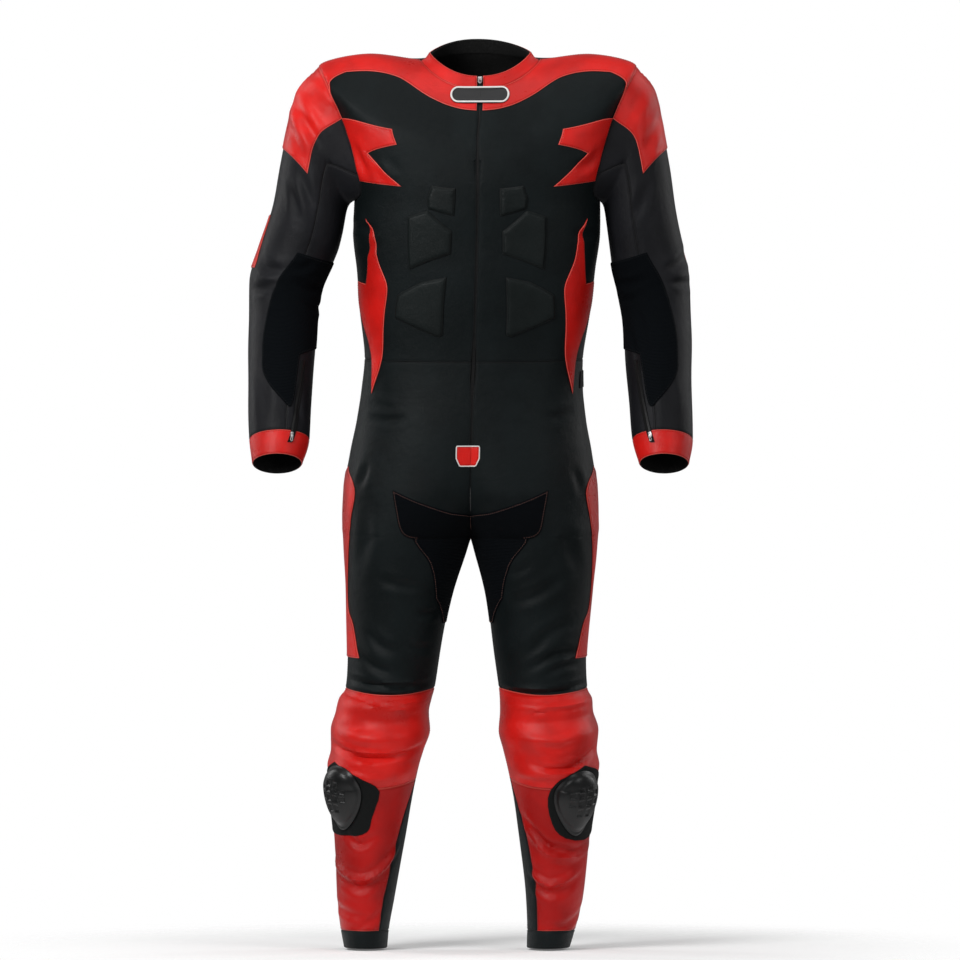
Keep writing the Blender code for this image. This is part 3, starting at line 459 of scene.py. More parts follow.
# %% Folds on hidden sides
# Each row holds (column, row) places, then depth and width in millimetres.
HIDDEN_CREASES = {
    ("trunk", RIGHT): [
        ([(8.2, 10.4), (9.6, 10.7), (11.4, 10.6)], 2.6, 8),
        ([(9.3, 8.9), (10.8, 9.2), (12.6, 9.3)], 2.2, 9),
        ([(8.1, 6.4), (9.1, 6.9), (10.4, 6.7)], 2.8, 8),
        ([(10.2, 3.8), (10.7, 4.6), (10.6, 5.4)], 2.2, 10),
        ([(9.6, 15.6), (10.8, 16.7), (12.2, 17.6)], 3.2, 8),
        ([(10.6, 17.9), (11.8, 18.4), (13.2, 18.6)], 2.4, 7),
        ([(8.4, 19.4), (9.8, 19.8), (11.2, 19.7)], 2.0, 9),
        ([(8.3, 22.9), (10.2, 23.5), (12.9, 23.0)], 3.4, 6),
        ([(8.5, 25.0), (10.8, 25.5), (12.7, 25.0)], 3.0, 6),
        ([(8.4, 21.4), (10.0, 21.9), (12.2, 21.7)], 2.4, 6),
        ([(8.6, 28.9), (10.2, 29.4), (12.2, 29.3)], 2.2, 8),
    ],
    ("trunk", LEFT): [
        ([(8.4, 10.2), (10.2, 10.5), (12.2, 10.9)], 3.0, 9),
        ([(9.0, 9.1), (10.4, 9.5), (11.6, 9.4)], 2.0, 8),
        ([(8.1, 6.6), (9.3, 7.2), (10.2, 7.1)], 2.4, 7),
        ([(10.0, 4.0), (10.4, 4.9), (10.3, 5.9)], 1.8, 9),
        ([(9.4, 15.2), (10.9, 16.5), (12.4, 17.3)], 2.8, 9),
        ([(10.2, 17.4), (11.4, 18.1), (12.8, 18.4)], 2.2, 7),
        ([(8.8, 19.2), (10.0, 19.5), (11.8, 19.9)], 2.4, 8),
        ([(8.4, 22.4), (10.4, 23.2), (12.6, 22.9)], 3.6, 6),
        ([(8.5, 24.2), (10.6, 24.9), (13.0, 24.3)], 3.0, 6),
        ([(8.6, 26.0), (10.2, 26.4), (12.0, 26.0)], 2.6, 6),
        ([(8.9, 29.1), (10.6, 29.6), (12.0, 29.4)], 2.4, 8),
        ([(9.0, 30.2), (10.6, 30.4), (11.8, 30.3)], 1.8, 7),
    ],
    ("sleeve", RIGHT): [
        ([(9.2, 1.4), (10.3, 2.0), (11.2, 2.9)], 2.6, 8),
        ([(0.3, 4.8), (1.6, 5.1), (3.0, 4.9)], 2.8, 6),
        ([(-0.6, 5.4), (0.9, 5.8), (2.3, 5.6)], 2.2, 5),
        ([(8.4, 5.4), (9.8, 5.7), (11.6, 5.4)], 2.4, 7),
        ([(9.4, 7.2), (10.2, 7.7), (10.4, 8.3)], 1.8, 8),
    ],
    ("sleeve", LEFT): [
        ([(8.9, 1.2), (10.1, 1.9), (11.4, 2.5)], 2.8, 8),
        ([(0.4, 4.6), (1.8, 4.9), (3.2, 4.8)], 3.0, 6),
        ([(0.2, 5.3), (1.6, 5.5), (2.7, 5.4)], 2.4, 5),
        ([(8.2, 5.2), (9.4, 5.4), (11.2, 5.3)], 2.2, 7),
        ([(9.0, 7.4), (9.9, 7.8), (10.8, 8.4)], 2.0, 8),
    ],
}

# %% Place the folds
# Leather bunches most at the knee, so folds are deeper there: below each height, by this share.
BUNCHED = ((215, 1.3), (425, 1.5), (600, 1.15))


def bunched(places):
    """How much deeper than written a fold is, from its mean height."""
    height = sum(high for _, high in places) / len(places)
    return next((share for top, share in BUNCHED if height < top), 1)


for creases, from_front in ((FRONT_CREASES, True), (HIDDEN_CREASES, False)):
    for (word, side), rows in creases.items():
        surface = (TRUNK if word == "trunk" else SLEEVE)[side]
        for places, depth, width in rows:
            if from_front:
                add_fold(surface, surface.seen(places), round(depth * bunched(places), 1), width)
            else:
                add_fold(surface, places, depth, width)
print(len(FOLDS), "folds placed")

# %% [markdown]
# ## Writing finishes as sums
# A procedural finish is arithmetic on a pattern: a colour times a noise, plus a little dirt in the
# seams. Wiring that by hand hides the sum among boxes. The small class here wraps one output
# socket, so `1 - mask * 0.4` writes the Math nodes by itself. Colours go through Mix nodes instead,
# because a Math node would turn a colour grey.

# %% A socket that does arithmetic
class Wire:
    """One output of a node."""

    def __init__(self, tree, socket):
        self.tree, self.socket = tree, socket

    def maths(self, operation, *values):
        node = self.tree.nodes.new("ShaderNodeMath")
        node.operation = operation
        for socket, value in zip(node.inputs, values):
            plug(self.tree, socket, value)
        return Wire(self.tree, node.outputs[0])

    def __add__(self, other):
        return self.maths("ADD", self, other)

    def __sub__(self, other):
        return self.maths("SUBTRACT", self, other)

    def __rsub__(self, other):
        return self.maths("SUBTRACT", other, self)

    def __mul__(self, other):
        return self.maths("MULTIPLY", self, other)

    __radd__, __rmul__ = __add__, __mul__

    def sine(self):
        return self.maths("SINE", self)

    def rising(self, low, high):
        """0 below low, 1 above high, and smooth between."""
        node = self.tree.nodes.new("ShaderNodeMapRange")
        node.interpolation_type = "SMOOTHSTEP"
        for name, value in (("Value", self), ("From Min", low), ("From Max", high)):
            plug(self.tree, node.inputs[name], value)
        return Wire(self.tree, node.outputs[0])


def plug(tree, socket, value):
    """Link a wire to a socket, or set the socket's own value."""
    if isinstance(value, Wire):
        tree.links.new(value.socket, socket)
    else:
        socket.default_value = value


class Finish:
    """A material while it is written."""

    def __init__(self, name):
        self.material = bpy.data.materials.new(name)
        self.material.use_nodes = True
        self.tree = self.material.node_tree
        self.shader = self.tree.nodes["Principled BSDF"]

    def node(self, kind, settings=None, inputs=None, out=0):
        """Any node: its settings come first, then its sockets' values or links."""
        made = self.tree.nodes.new(kind)
        for name, value in (settings or {}).items():
            setattr(made, name, value)
        for name, value in (inputs or {}).items():
            plug(self.tree, made.inputs[name], value)
        return Wire(self.tree, made.outputs[out])

    def mix(self, share, first, second):
        """Two colours mixed."""
        return self.node("ShaderNodeMix", {"data_type": "RGBA"}, {0: share, 6: first, 7: second}, 2)

    def place(self):
        return self.node("ShaderNodeTexCoord", out="Object")

    def noise(self, scale, detail=3.0, rough=0.5):
        return self.node("ShaderNodeTexNoise", None, {
            "Vector": self.place(), "Scale": scale, "Detail": detail, "Roughness": rough})

    def cells(self, scale):
        return self.node("ShaderNodeTexVoronoi", {"feature": "DISTANCE_TO_EDGE"}, {
            "Vector": self.place(), "Scale": scale})

    def measure(self, name):
        return self.node("ShaderNodeAttribute", {"attribute_name": name}, out="Fac")

    def bump(self, height, depth, after=None):
        """A bump of a given depth in metres, over another."""
        inputs = {"Height": height, "Distance": depth, "Strength": 1.0}
        if after:
            inputs["Normal"] = after
        return self.node("ShaderNodeBump", None, inputs)

    def sockets(self, **values):
        for name, value in values.items():
            plug(self.tree, self.shader.inputs[name.replace("_", " ")], value)
        return self.material


def grey(level):
    return (level, level, level, 1.0)


# %% [markdown]
# ## Leather
# Cowhide for racing is pigmented and slightly glossy. Close up it shows grain, a network of tiny
# creases about a millimetre across. Further away it shows a soft mottling and fine wrinkles. A
# darker band beside each seam is painted shade for the sunk seam, and the raised edge of a patch
# is painted a little paler, partly wear and partly a painted highlight. Each panel carries a
# `seam` number, the distance to its own edge in metres, so these follow every piece.

# %% Leather finishes
GRAIN, WRINKLES, MOTTLE = 900.0, 95.0, 14.0  # pattern scales, to the metre


def leather(name, colour, worn_highlit_edge_colour, rough, gloss, wear=0.5, coat=0.0):
    finish = Finish(name)
    seam = finish.measure("seam")
    mottle = finish.noise(MOTTLE, 4.0)
    wrinkle = finish.noise(WRINKLES, 3.0, 0.6)
    grain = finish.cells(GRAIN)
    deep = tuple(0.80 * part for part in colour[:3]) + (1.0,)
    light = tuple(min(1.0, 1.12 * part) for part in colour[:3]) + (1.0,)
    skin = finish.mix(mottle.rising(0.35, 0.65), deep, light)
    # Partly wear and partly a painted highlight: the edge within about 1.6 mm of a seam is mixed towards a
    # paler colour, as a raised edge catches light.
    worn_highlit_edge = (1 - seam.rising(0.0002, 0.0016)) * wear
    skin = finish.mix(worn_highlit_edge, skin, worn_highlit_edge_colour)
    # Painted shade: a darker band 1 to 2 mm from the edge stands for the shade that falls into the sunk
    # seam.
    sunk = (1 - seam.rising(0.0016, 0.0021)) * seam.rising(0.001, 0.0016) * 0.25
    skin = finish.mix(sunk, skin, grey(0.0))
    roughness = rough + mottle * 0.10 + wrinkle * 0.10 - 0.10
    stitch_line = seam.rising(0.0010, 0.0021) * (1 - seam.rising(0.0021, 0.0034))
    normal = finish.bump(wrinkle, 0.0006)
    normal = finish.bump(grain.rising(0.0, 0.25), 0.00008, normal)
    normal = finish.bump(1 - stitch_line, 0.0003, normal)
    return finish.sockets(Base_Color=skin, Roughness=roughness, Normal=normal,
                          Specular_IOR_Level=gloss, Coat_Weight=coat, Coat_Roughness=0.25)


BLACK = (0.0055, 0.0082, 0.0088, 1.0)
# Painted light: paler copies of the black leather for the chest pads and the sleeves stand for the light
# these parts catch; their slot stays black_leather.
LIT_PAD_BLACK = (0.0072, 0.0100, 0.0100, 1.0)
LIT_ARM_BLACK = (0.0095, 0.0098, 0.0118, 1.0)
RED = (0.64, 0.011, 0.008, 1.0)
# Partly a deeper red and partly painted shade: a darker copy of the red leather for the shins, which fall
# away from the light; its slot stays red_leather.
SHADED_SHIN_RED = (0.40, 0.004, 0.003, 1.0)
WORN_HIGHLIT_RED = (0.74, 0.13, 0.10, 1.0)
MATERIALS = {
    "black_leather": leather("black_leather", BLACK, grey(0.018), 0.44, 0.10),
    "shaded_shin_leather": leather("shaded_shin_leather", SHADED_SHIN_RED, WORN_HIGHLIT_RED, 0.30, 0.2, 0.5),
    "lit_pad_leather": leather("lit_pad_leather", LIT_PAD_BLACK, grey(0.02), 0.42, 0.13),
    "lit_arm_leather": leather("lit_arm_leather", LIT_ARM_BLACK, grey(0.022), 0.44, 0.12),
    "red_leather": leather("red_leather", RED, WORN_HIGHLIT_RED, 0.30, 0.24, 0.7),
}
print("leather finishes:", ", ".join(MATERIALS))


# %% [markdown]
# ## Cloth, plastic, metal and thread
# The stretch panels are an elastic weave sewn over a gathered backing, so fine ribs cross them. The
# ribs follow the cloth, not the room, which is why this finish reads the panel's own UV map.
# The lining is a net of small holes. The hard parts are moulded and scuffed. Zip and thread
# need little more than a fine scratch or twist at their size.

# %% The other finishes
def stretch_cloth():
    finish = Finish("stretch_cloth")
    across = finish.node("ShaderNodeSeparateXYZ", None, {
        "Vector": finish.node("ShaderNodeTexCoord", out="UV")}, 1)
    ribs = (across * 2600.0).sine() * 0.5 + 0.5
    fuzz = finish.noise(700.0, 2.0)
    cloth = finish.mix(ribs * 0.6 + fuzz * 0.4, (0.0010, 0.0016, 0.0024, 1), (0.0036, 0.0050, 0.0066, 1))
    normal = finish.bump(ribs, 0.0007)
    normal = finish.bump(fuzz, 0.0002, normal)
    return finish.sockets(Base_Color=cloth, Roughness=0.86 + fuzz * 0.1, Normal=normal,
                          Specular_IOR_Level=0.06)


def lining_mesh():
    finish = Finish("lining_mesh")
    holes = finish.cells(420.0).rising(0.05, 0.16)
    cloth = finish.mix(holes, grey(0.016), grey(0.006))
    return finish.sockets(Base_Color=cloth, Roughness=0.8 + holes * 0.1, Specular_IOR_Level=0.2,
                          Normal=finish.bump(1 - holes, 0.0004))


def weave(name, colour, scale, depth, rough):
    """A close narrow weave, for tape, hook panels and labels."""
    finish = Finish(name)
    spot = finish.node("ShaderNodeTexCoord", out="UV")
    parts = [finish.node("ShaderNodeSeparateXYZ", None, {"Vector": spot}, axis) for axis in (0, 1)]
    threads = (parts[0] * scale).sine() * (parts[1] * scale).sine() * 0.5 + 0.5
    fuzz = finish.noise(500.0, 2.0)
    dark = tuple(0.5 * part for part in colour[:3]) + (1.0,)
    cloth = finish.mix(threads * 0.7 + fuzz * 0.3, dark, colour)
    return finish.sockets(Base_Color=cloth, Roughness=rough + fuzz * 0.1, Specular_IOR_Level=0.2,
                          Normal=finish.bump(threads, depth))


def moulded(name, colour, rough, pit_scale, pit_depth):
    """Moulded plastic or rubber with a fine sparkle of pits and paler worn spots scattered by a noise."""
    finish = Finish(name)
    pits = finish.noise(pit_scale, 2.0)
    scuffs = finish.noise(60.0, 5.0, 0.7)
    worn = tuple(1.5 * part for part in colour[:3]) + (1.0,)
    skin = finish.mix(scuffs.rising(0.5, 0.75) * 0.6, colour, worn)
    return finish.sockets(Base_Color=skin, Roughness=rough + scuffs * 0.2, Specular_IOR_Level=0.4,
                          Normal=finish.bump(pits, pit_depth))


def plated_metal():
    finish = Finish("zip_metal")
    scratches = finish.noise(240.0, 5.0, 0.8)
    skin = finish.mix(scratches, grey(0.30), grey(0.58))
    return finish.sockets(Base_Color=skin, Roughness=0.22 + scratches * 0.25, Metallic=1.0,
                          Normal=finish.bump(scratches, 0.0001))


def twisted_thread(name, colour):
    finish = Finish(name)
    twist = finish.noise(1600.0, 1.0)
    dark = tuple(0.6 * part for part in colour[:3]) + (1.0,)
    return finish.sockets(Base_Color=finish.mix(twist, dark, colour), Roughness=0.7 + twist * 0.1,
                          Specular_IOR_Level=0.2, Normal=finish.bump(twist, 0.0002))


MATERIALS.update({
    "stretch_cloth": stretch_cloth(),
    "lining_mesh": lining_mesh(),
    "zip_tape": weave("zip_tape", (0.0022, 0.0022, 0.0025, 1), 4200.0, 0.0002, 0.75),
    "hook_panel": weave("hook_panel", (0.008, 0.009, 0.009, 1), 3000.0, 0.0006, 0.9),
    "woven_label": weave("woven_label", (0.006, 0.006, 0.007, 1), 5200.0, 0.0001, 0.7),
    "hard_plastic": moulded("hard_plastic", (0.0028, 0.0032, 0.0034, 1), 0.24, 1500.0, 0.00012),
    "badge_rubber": moulded("badge_rubber", (0.009, 0.009, 0.010, 1), 0.42, 900.0, 0.00008),
    "pale_rubber": moulded("pale_rubber", (0.72, 0.71, 0.69, 1), 0.45, 900.0, 0.00008),
    "zip_metal": plated_metal(),
    "dark_teeth": moulded("dark_teeth", (0.004, 0.004, 0.0042, 1), 0.35, 900.0, 0.00005),
    "black_thread": twisted_thread("black_thread", (0.018, 0.019, 0.020, 1)),
    "red_thread": twisted_thread("red_thread", (0.40, 0.012, 0.010, 1)),
    "pale_thread": twisted_thread("pale_thread", (0.34, 0.17, 0.14, 1)),
})
print(len(MATERIALS), "finishes")


# %% [markdown]
# ## Cutting a panel
# A panel is an outline of places. Its mesh needs three things: points close together along the
# seam, where the leather turns down, a few lines of points beside it, and an even net inside. A
# Delaunay triangulation joins them. Everything is measured in metres along the surface, so
# that the triangles stay even where the body narrows.

# %% Measuring along a surface
def fill_tables(surface):
    """How far round each column lies, metres, as a mean over the rows."""
    surface.wide = np.arange(-4, COLUMNS + 4, 1 / 12)
    rows = np.linspace(0.5, surface.rows, 30)
    column, row = np.meshgrid(surface.wide, rows)
    points = surface.at(column.ravel(), row.ravel()).reshape(len(rows), -1, 3)
    steps = np.linalg.norm(np.diff(points, axis=1), axis=2).mean(0)
    surface.over = np.concatenate([[0], np.cumsum(steps)])


def flat_places(surface, places):
    """Places laid flat, metres across and down."""
    return np.stack([np.interp(places[:, 0], surface.wide, surface.over),
                     np.interp(places[:, 1], surface.fine_rows, surface.down)], 1)


def places_of(surface, flat):
    return np.stack([np.interp(flat[:, 0], surface.over, surface.wide),
                     np.interp(flat[:, 1], surface.down, surface.fine_rows)], 1)


def signed_area(line):
    ahead = np.roll(line, -1, axis=0)
    return 0.5 * float((line[:, 0] * ahead[:, 1] - ahead[:, 0] * line[:, 1]).sum())


def by_batches(measure, spots, batch=2000):
    """A measure of many spots, a few at a time, so that memory stays small."""
    return np.concatenate([measure(spots[k:k + batch]) for k in range(0, len(spots), batch)])


def gaps_to(starts, ends, spots):
    """Each spot's distance to the nearest of some straight runs."""
    runs = ends - starts
    squares = np.maximum((runs ** 2).sum(1), 1e-16)

    def measure(some):
        reach = some[:, None, :] - starts[None]
        part = np.clip((reach * runs).sum(2) / squares, 0, 1)
        return np.linalg.norm(reach - part[:, :, None] * runs, axis=2).min(1)

    return by_batches(measure, spots)


def inside(loop, spots):
    """Which flat spots lie inside a closed line."""
    start, end = loop, np.roll(loop, -1, axis=0)
    rise = np.where(end[:, 1] == start[:, 1], 1, end[:, 1] - start[:, 1])

    def measure(some):
        x, y = some[:, 0][:, None], some[:, 1][:, None]
        passes = (start[:, 1] > y) != (end[:, 1] > y)
        left_of = x < start[:, 0] + (y - start[:, 1]) / rise * (end[:, 0] - start[:, 0])
        return (passes & left_of).sum(1) % 2 == 1

    return by_batches(measure, spots)


# %% Drawing an outline in from its edge
def joined_edges(border, joined):
    """Which edges of a border run along a column where two cuts are joined."""
    held = np.zeros(len(border), bool)
    for column in joined:
        on_line = np.abs(border[:, 0] - column) < 1e-6
        held |= on_line & np.roll(on_line, -1)
    return held


def drawn_in(surface, border, joined, distance):
    """A border moved inwards by a distance along the surface."""
    points = surface.at(*border.T)
    across, down = surface.slopes(*border.T)
    upright = np.cross(across, down)
    inward = np.cross(upright, np.roll(points, -1, axis=0) - points)
    inward /= np.maximum(np.linalg.norm(inward, axis=1), 1e-12)[:, None]
    held = joined_edges(border, joined)
    inward[held] = 0
    both = inward + np.roll(inward, 1, axis=0)
    single = held | np.roll(held, 1)
    even = np.where(single, 1, np.maximum(0.5, (both ** 2).sum(1) / 2))
    shift = both / even[:, None] * distance
    a, b, c = (across * across).sum(1), (across * down).sum(1), (down * down).sum(1)
    p, q = (across * shift).sum(1), (down * shift).sum(1)
    size = a * c - b * b
    moved = border + np.stack([(c * p - b * q) / size, (a * q - b * p) / size], 1)
    moved[single, 0] = border[single, 0]
    moved[:, 1] = np.clip(moved[:, 1], 0, surface.rows)
    return moved


def even_line(surface, outline, step):
    """An outline with a place about every step along it."""
    line = []
    for start, end in zip(outline, np.roll(outline, -1, axis=0)):
        places = start + (end - start) * np.linspace(0, 1, 33)[:, None]
        lengths = np.linalg.norm(np.diff(surface.at(*places.T), axis=0), axis=1)
        run = np.concatenate([[0], np.cumsum(lengths)])
        count = max(1, round(run[-1] / step))
        part = np.interp(np.linspace(0, run[-1], count, endpoint=False), run, np.linspace(0, 1, 33))
        line.append(start + (end - start) * part[:, None])
    return np.concatenate(line)


# %% Cutting
Cut = namedtuple("Cut", "places faces edges gap flat thread joined")
THREAD_INSET = 2.3 * MM


def cut(surface, outline, joined=(), step=EDGE_STEP, net=LATTICE):
    """Cut an outline from a surface. Nothing is drawn in along the joined columns."""
    outline = np.array(outline, float)
    if signed_area(flat_places(surface, outline)) < 0:
        outline = outline[::-1]
    border = even_line(surface, outline, step)
    held = joined_edges(border, joined)
    rim = drawn_in(surface, border, joined, HALF_GAP)
    rim_points = surface.at(*rim.T)
    starts, ends = rim_points[~held], np.roll(rim_points, -1, axis=0)[~held]
    loop = flat_places(surface, rim)
    rings = [(drawn_in(surface, border, joined, HALF_GAP + way), 0.75 * way) for way in SEAM_LOOPS]
    low, high = loop.min(0), loop.max(0)
    x, y = np.meshgrid(np.arange(low[0], high[0], net), np.arange(low[1], high[1], net * 0.866))
    x = x + (np.arange(len(x)) % 2)[:, None] * net / 2
    lattice = places_of(surface, np.stack([x.ravel(), y.ravel()], 1))
    rings.append((lattice, SEAM_LOOPS[-1] + 0.45 * net))
    places, gaps = [rim], [np.zeros(len(rim))]
    for ring, least in rings:
        for column in joined:
            ring = ring[np.abs(ring[:, 0] - column) > 0.02]
        ring = ring[inside(loop, flat_places(surface, ring))]
        if len(ring):
            away = gaps_to(starts, ends, surface.at(*ring.T))
            kept = away > least
            places.append(ring[kept])
            gaps.append(away[kept])
    places, gaps = np.concatenate(places), np.concatenate(gaps)
    seams = [(k, (k + 1) % len(rim)) for k in range(len(rim))]
    corners = [Vector(spot) for spot in flat_places(surface, places)]
    spots, _, faces, origins, _, _ = delaunay_2d_cdt(corners, seams, [], 1, 1e-7)
    first = np.array([origin[0] if origin else -1 for origin in origins])
    crossing = places_of(surface, np.array(spots))
    places = np.where((first < 0)[:, None], crossing, places[first])
    gaps = np.where(first < 0, 0, gaps[first])
    used, faces = np.unique(np.array(faces), return_inverse=True)
    places, gaps, faces = places[used], gaps[used], faces.reshape(-1, 3)
    around = np.concatenate([faces[:, [0, 1]], faces[:, [1, 2]], faces[:, [2, 0]]])
    count = len(places)
    open_ones = ~np.isin(around[:, 0] * count + around[:, 1], around[:, 1] * count + around[:, 0])
    edges = around[open_ones]
    for column in joined:
        edges = edges[~(np.abs(places[edges, 0] - column) < 1e-6).all(1)]
    thread = drawn_in(surface, border, joined, THREAD_INSET)
    clear = inside(loop, flat_places(surface, thread))
    clear[clear] = gaps_to(starts, ends, surface.at(*thread[clear].T)) > 0.7 * THREAD_INSET
    runs = np.stack([np.arange(len(rim)), np.roll(np.arange(len(rim)), -1)], 1)[~held]
    runs = runs[clear[runs].all(1)]
    return Cut(places, faces, edges, gaps, flat_places(surface, places), (thread, runs), tuple(joined))


for side in SIDES.values():
    fill_tables(TRUNK[side])
    fill_tables(SLEEVE[side])
print("round the trunk at its mean", round(float(np.interp(14, TRUNK[LEFT].wide, TRUNK[LEFT].over)
                                                - np.interp(0, TRUNK[LEFT].wide, TRUNK[LEFT].over)), 3))


# %% [markdown]
# ## From a cut to leather
# Leather has two faces and an edge. The top follows the surface and sinks towards the seam, the
# underside lies one wall lower, and a thin band closes the edge, so each piece is a shell that
# could be printed. Solidify would do this too, but it can't sink a seam. For most pieces the size
# of the flat piece it would be cut from is worked out, and printed at the end.

# %% Heights over the surface, for a distance from the seam
def panel_top(gap):
    return -SEAM_DEPTH * np.exp(-gap / (0.75 * MM))


def patch_top(gap):
    return PATCH_HIGH - PATCH_EDGE * np.exp(-gap / (0.5 * MM))


# %% Mesh and object
SHARP_EDGE = math.radians(50)  # an edge that turns further than this stays crisp


def mesh_object(name, points, faces, materials, per_face=None, seam=None, flat=None):
    mesh = bpy.data.meshes.new(name)
    mesh.from_pydata(points.tolist(), [], [tuple(face) for face in faces])
    for material in materials:
        mesh.materials.append(MATERIALS[material])
    if per_face is not None:
        mesh.polygons.foreach_set("material_index", per_face)
    if seam is not None:
        mesh.attributes.new("seam", "FLOAT", "POINT").data.foreach_set("value", seam)
    if flat is not None:
        corners = np.zeros(len(mesh.loops), np.int32)
        mesh.loops.foreach_get("vertex_index", corners)
        mesh.uv_layers.new(name="cut").data.foreach_set("uv", flat[corners].ravel())
    mesh.polygons.foreach_set("use_smooth", np.ones(len(mesh.polygons), bool))
    mesh.set_sharp_from_angle(angle=SHARP_EDGE)
    mesh.update()
    thing = bpy.data.objects.new(name, mesh)
    bpy.context.scene.collection.objects.link(thing)
    return thing


def smallest_box(flat):
    """The width and length of the smallest turned rectangle round flat spots."""
    best = None
    for angle in np.linspace(0, math.pi / 2, 46):
        turn = np.array([[math.cos(angle), -math.sin(angle)], [math.sin(angle), math.cos(angle)]])
        size = np.ptp(flat @ turn.T, axis=0)
        if best is None or size.prod() < best.prod():
            best = size
    return np.sort(best)


def triangle_area(points, faces):
    a, b, c = (points[faces[:, k]] for k in range(3))
    return 0.5 * np.linalg.norm(np.cross(b - a, c - a), axis=1).sum()


# %% The shell of one piece
THREADS = {}
CUT_SIZES = {}
Wear = namedtuple("Wear", "low top finish under slot held thread")


def add_thread(colour, points, outs, runs):
    """Remember a line of sewing for the needle later on."""
    THREADS.setdefault(colour, []).append((points, outs, runs))


def level_at_middle(surface, places):
    """Normals that don't lean sideways where the two halves of the trunk meet."""
    normals = surface.normal(*places.T)
    if surface.rows > CUFF_END:
        column = places[:, 0]
        near = np.clip(np.minimum(np.abs(column), np.abs(COLUMNS - column)) / 0.3, 0, 1)
        normals[:, 0] *= np.where(places[:, 1] < FORK, near, 1)
    return normals


def shell(name, nodes, parts, wear, rests_on=(), creased=True, pad=None, crown=None, soft=True,
          flat_size=None):
    points, normals, faces, edges, gap, flat, extra, first = [], [], [], [], [], [], [], 0
    for number, (surface, made) in enumerate(parts):
        upright = level_at_middle(surface, made.places)
        turned = surface.turn < 0
        points.append(surface.at(*made.places.T))
        normals.append(upright / np.linalg.norm(upright, axis=1)[:, None])
        faces.append((made.faces[:, ::-1] if turned else made.faces) + first)
        edges.append((made.edges[:, ::-1] if turned else made.edges) + first)
        gap.append(made.gap)
        extra.append(crown(made.places) if crown else np.zeros(len(made.gap)))
        mirror = made.flat.copy()
        if number and made.joined:
            line = np.interp(made.joined[0], surface.wide, surface.over)
            mirror[:, 0] = 2 * line - mirror[:, 0]
        flat.append(mirror)
        first += len(made.places)
        if wear.thread:
            places, runs = made.thread
            out = surface.normal(*places.T)
            base = surface.at(*places.T)
            lift = wear.top(np.full(len(base), THREAD_INSET)) + (relief(base, out) if creased else 0)
            add_thread(wear.thread, base + out * (lift + 0.1 * MM)[:, None], out, runs)
    points, normals, faces, edges, gap, flat, extra = map(
        np.concatenate, (points, normals, faces, edges, gap, flat, extra))
    if any(made.joined for _, made in parts):
        keys = np.round(points * 1e5).astype(np.int64)
        _, keep, index = np.unique(keys, axis=0, return_index=True, return_inverse=True)
        index = index.reshape(-1)
        shared = np.zeros((len(keep), 3))
        np.add.at(shared, index, normals)
        points, gap, flat, extra = points[keep], gap[keep], flat[keep], extra[keep]
        normals = shared / np.linalg.norm(shared, axis=1)[:, None]
        faces, edges = index[faces], index[edges]
    area = triangle_area(points, faces)
    lift = relief(points, normals) if creased else np.zeros(len(points))
    top = points + normals * (wear.top(gap) + lift + extra)[:, None]
    below = points + normals * (wear.low + lift)[:, None]
    count = len(points)
    walls = np.stack([edges[:, 0] + count, edges[:, 1] + count, edges[:, 1], edges[:, 0]], 1)
    every = faces.tolist() + (faces[:, ::-1] + count).tolist() + walls.tolist()
    per_face = np.zeros(len(every), np.int32)
    per_face[len(faces):] = 1 if wear.under else 0
    names = [wear.finish] + ([wear.under] if wear.under else [])
    thing = mesh_object(name, np.concatenate([top, below]), every, names, per_face,
                        np.concatenate([gap, np.full(count, 0.02)]), np.concatenate([flat, flat]))
    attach(thing, "suit")
    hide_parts(*nodes)
    if pad is not None or not soft:
        return thing
    scale = math.sqrt(area / max(1e-9, triangle_area(np.pad(flat, ((0, 0), (0, 1))), faces)))
    size = np.maximum(smallest_box(flat[np.unique(edges)]) * scale, 0.0102)
    if area > size.prod():
        size *= math.sqrt(area / size.prod()) * 1.0005
    size = flat_size or [round(float(part), 4) for part in size]
    share = area / (size[0] * size[1])
    CUT_SIZES[name] = (size, round(float(area), 5), round(float(share), 2))
    return thing


def wear(finish, top=panel_top, low=-WALL, under="lining_mesh", slot=None, held="hung",
         thread="black_thread"):
    return Wear(low, top, finish, under, slot or finish, held, thread)


PANEL = wear("black_leather")
# The sleeves wear the paler black, painted light.
ARM = wear("lit_arm_leather", slot="black_leather")
RED_PANEL = wear("red_leather", thread="red_thread")
# The shins wear the darker red, partly painted shade.
SHADED_SHIN_PANEL = wear("shaded_shin_leather", slot="red_leather", thread="red_thread")
PATCH = wear("red_leather", patch_top, PATCH_LOW, None, held="laid", thread="red_thread")
FORK_CLOTH = wear("stretch_cloth", patch_top, PATCH_LOW, None, held="stretched", thread="pale_thread")
STRETCH = wear("stretch_cloth", patch_top, PATCH_LOW, None, held="stretched", thread="black_thread")
print("a panel is", round(WALL / MM, 1), "mm thick, a patch", round((PATCH_HIGH - PATCH_LOW) / MM, 2))


# %% [markdown]
# ## The base panels
# A one-piece suit closes down the centre front. Its trunk is two fronts and a back, its trousers
# two fronts and two backs, and each sleeve an outer and an inner piece. Seams between them run
# where a tailor wants them: down the sides, round the armholes and across the waist.

# %% Where the centre front lies open
ZIP_FOOT = 769
ZIP_LENS = (905, 52, 2.2)  # height of the middle, half length and depth of the wavering slit


def slit_at(height):
    """Half the opening at the centre front, metres: a fine slit with a wavering wider part."""
    middle, half, depth = ZIP_LENS
    wide = max(0.0, 1 - ((height - middle) / half) ** 2)
    return SLIT * 0.7 + wide * depth * MM + 0.35 * MM * (1 + math.sin(height / 23))


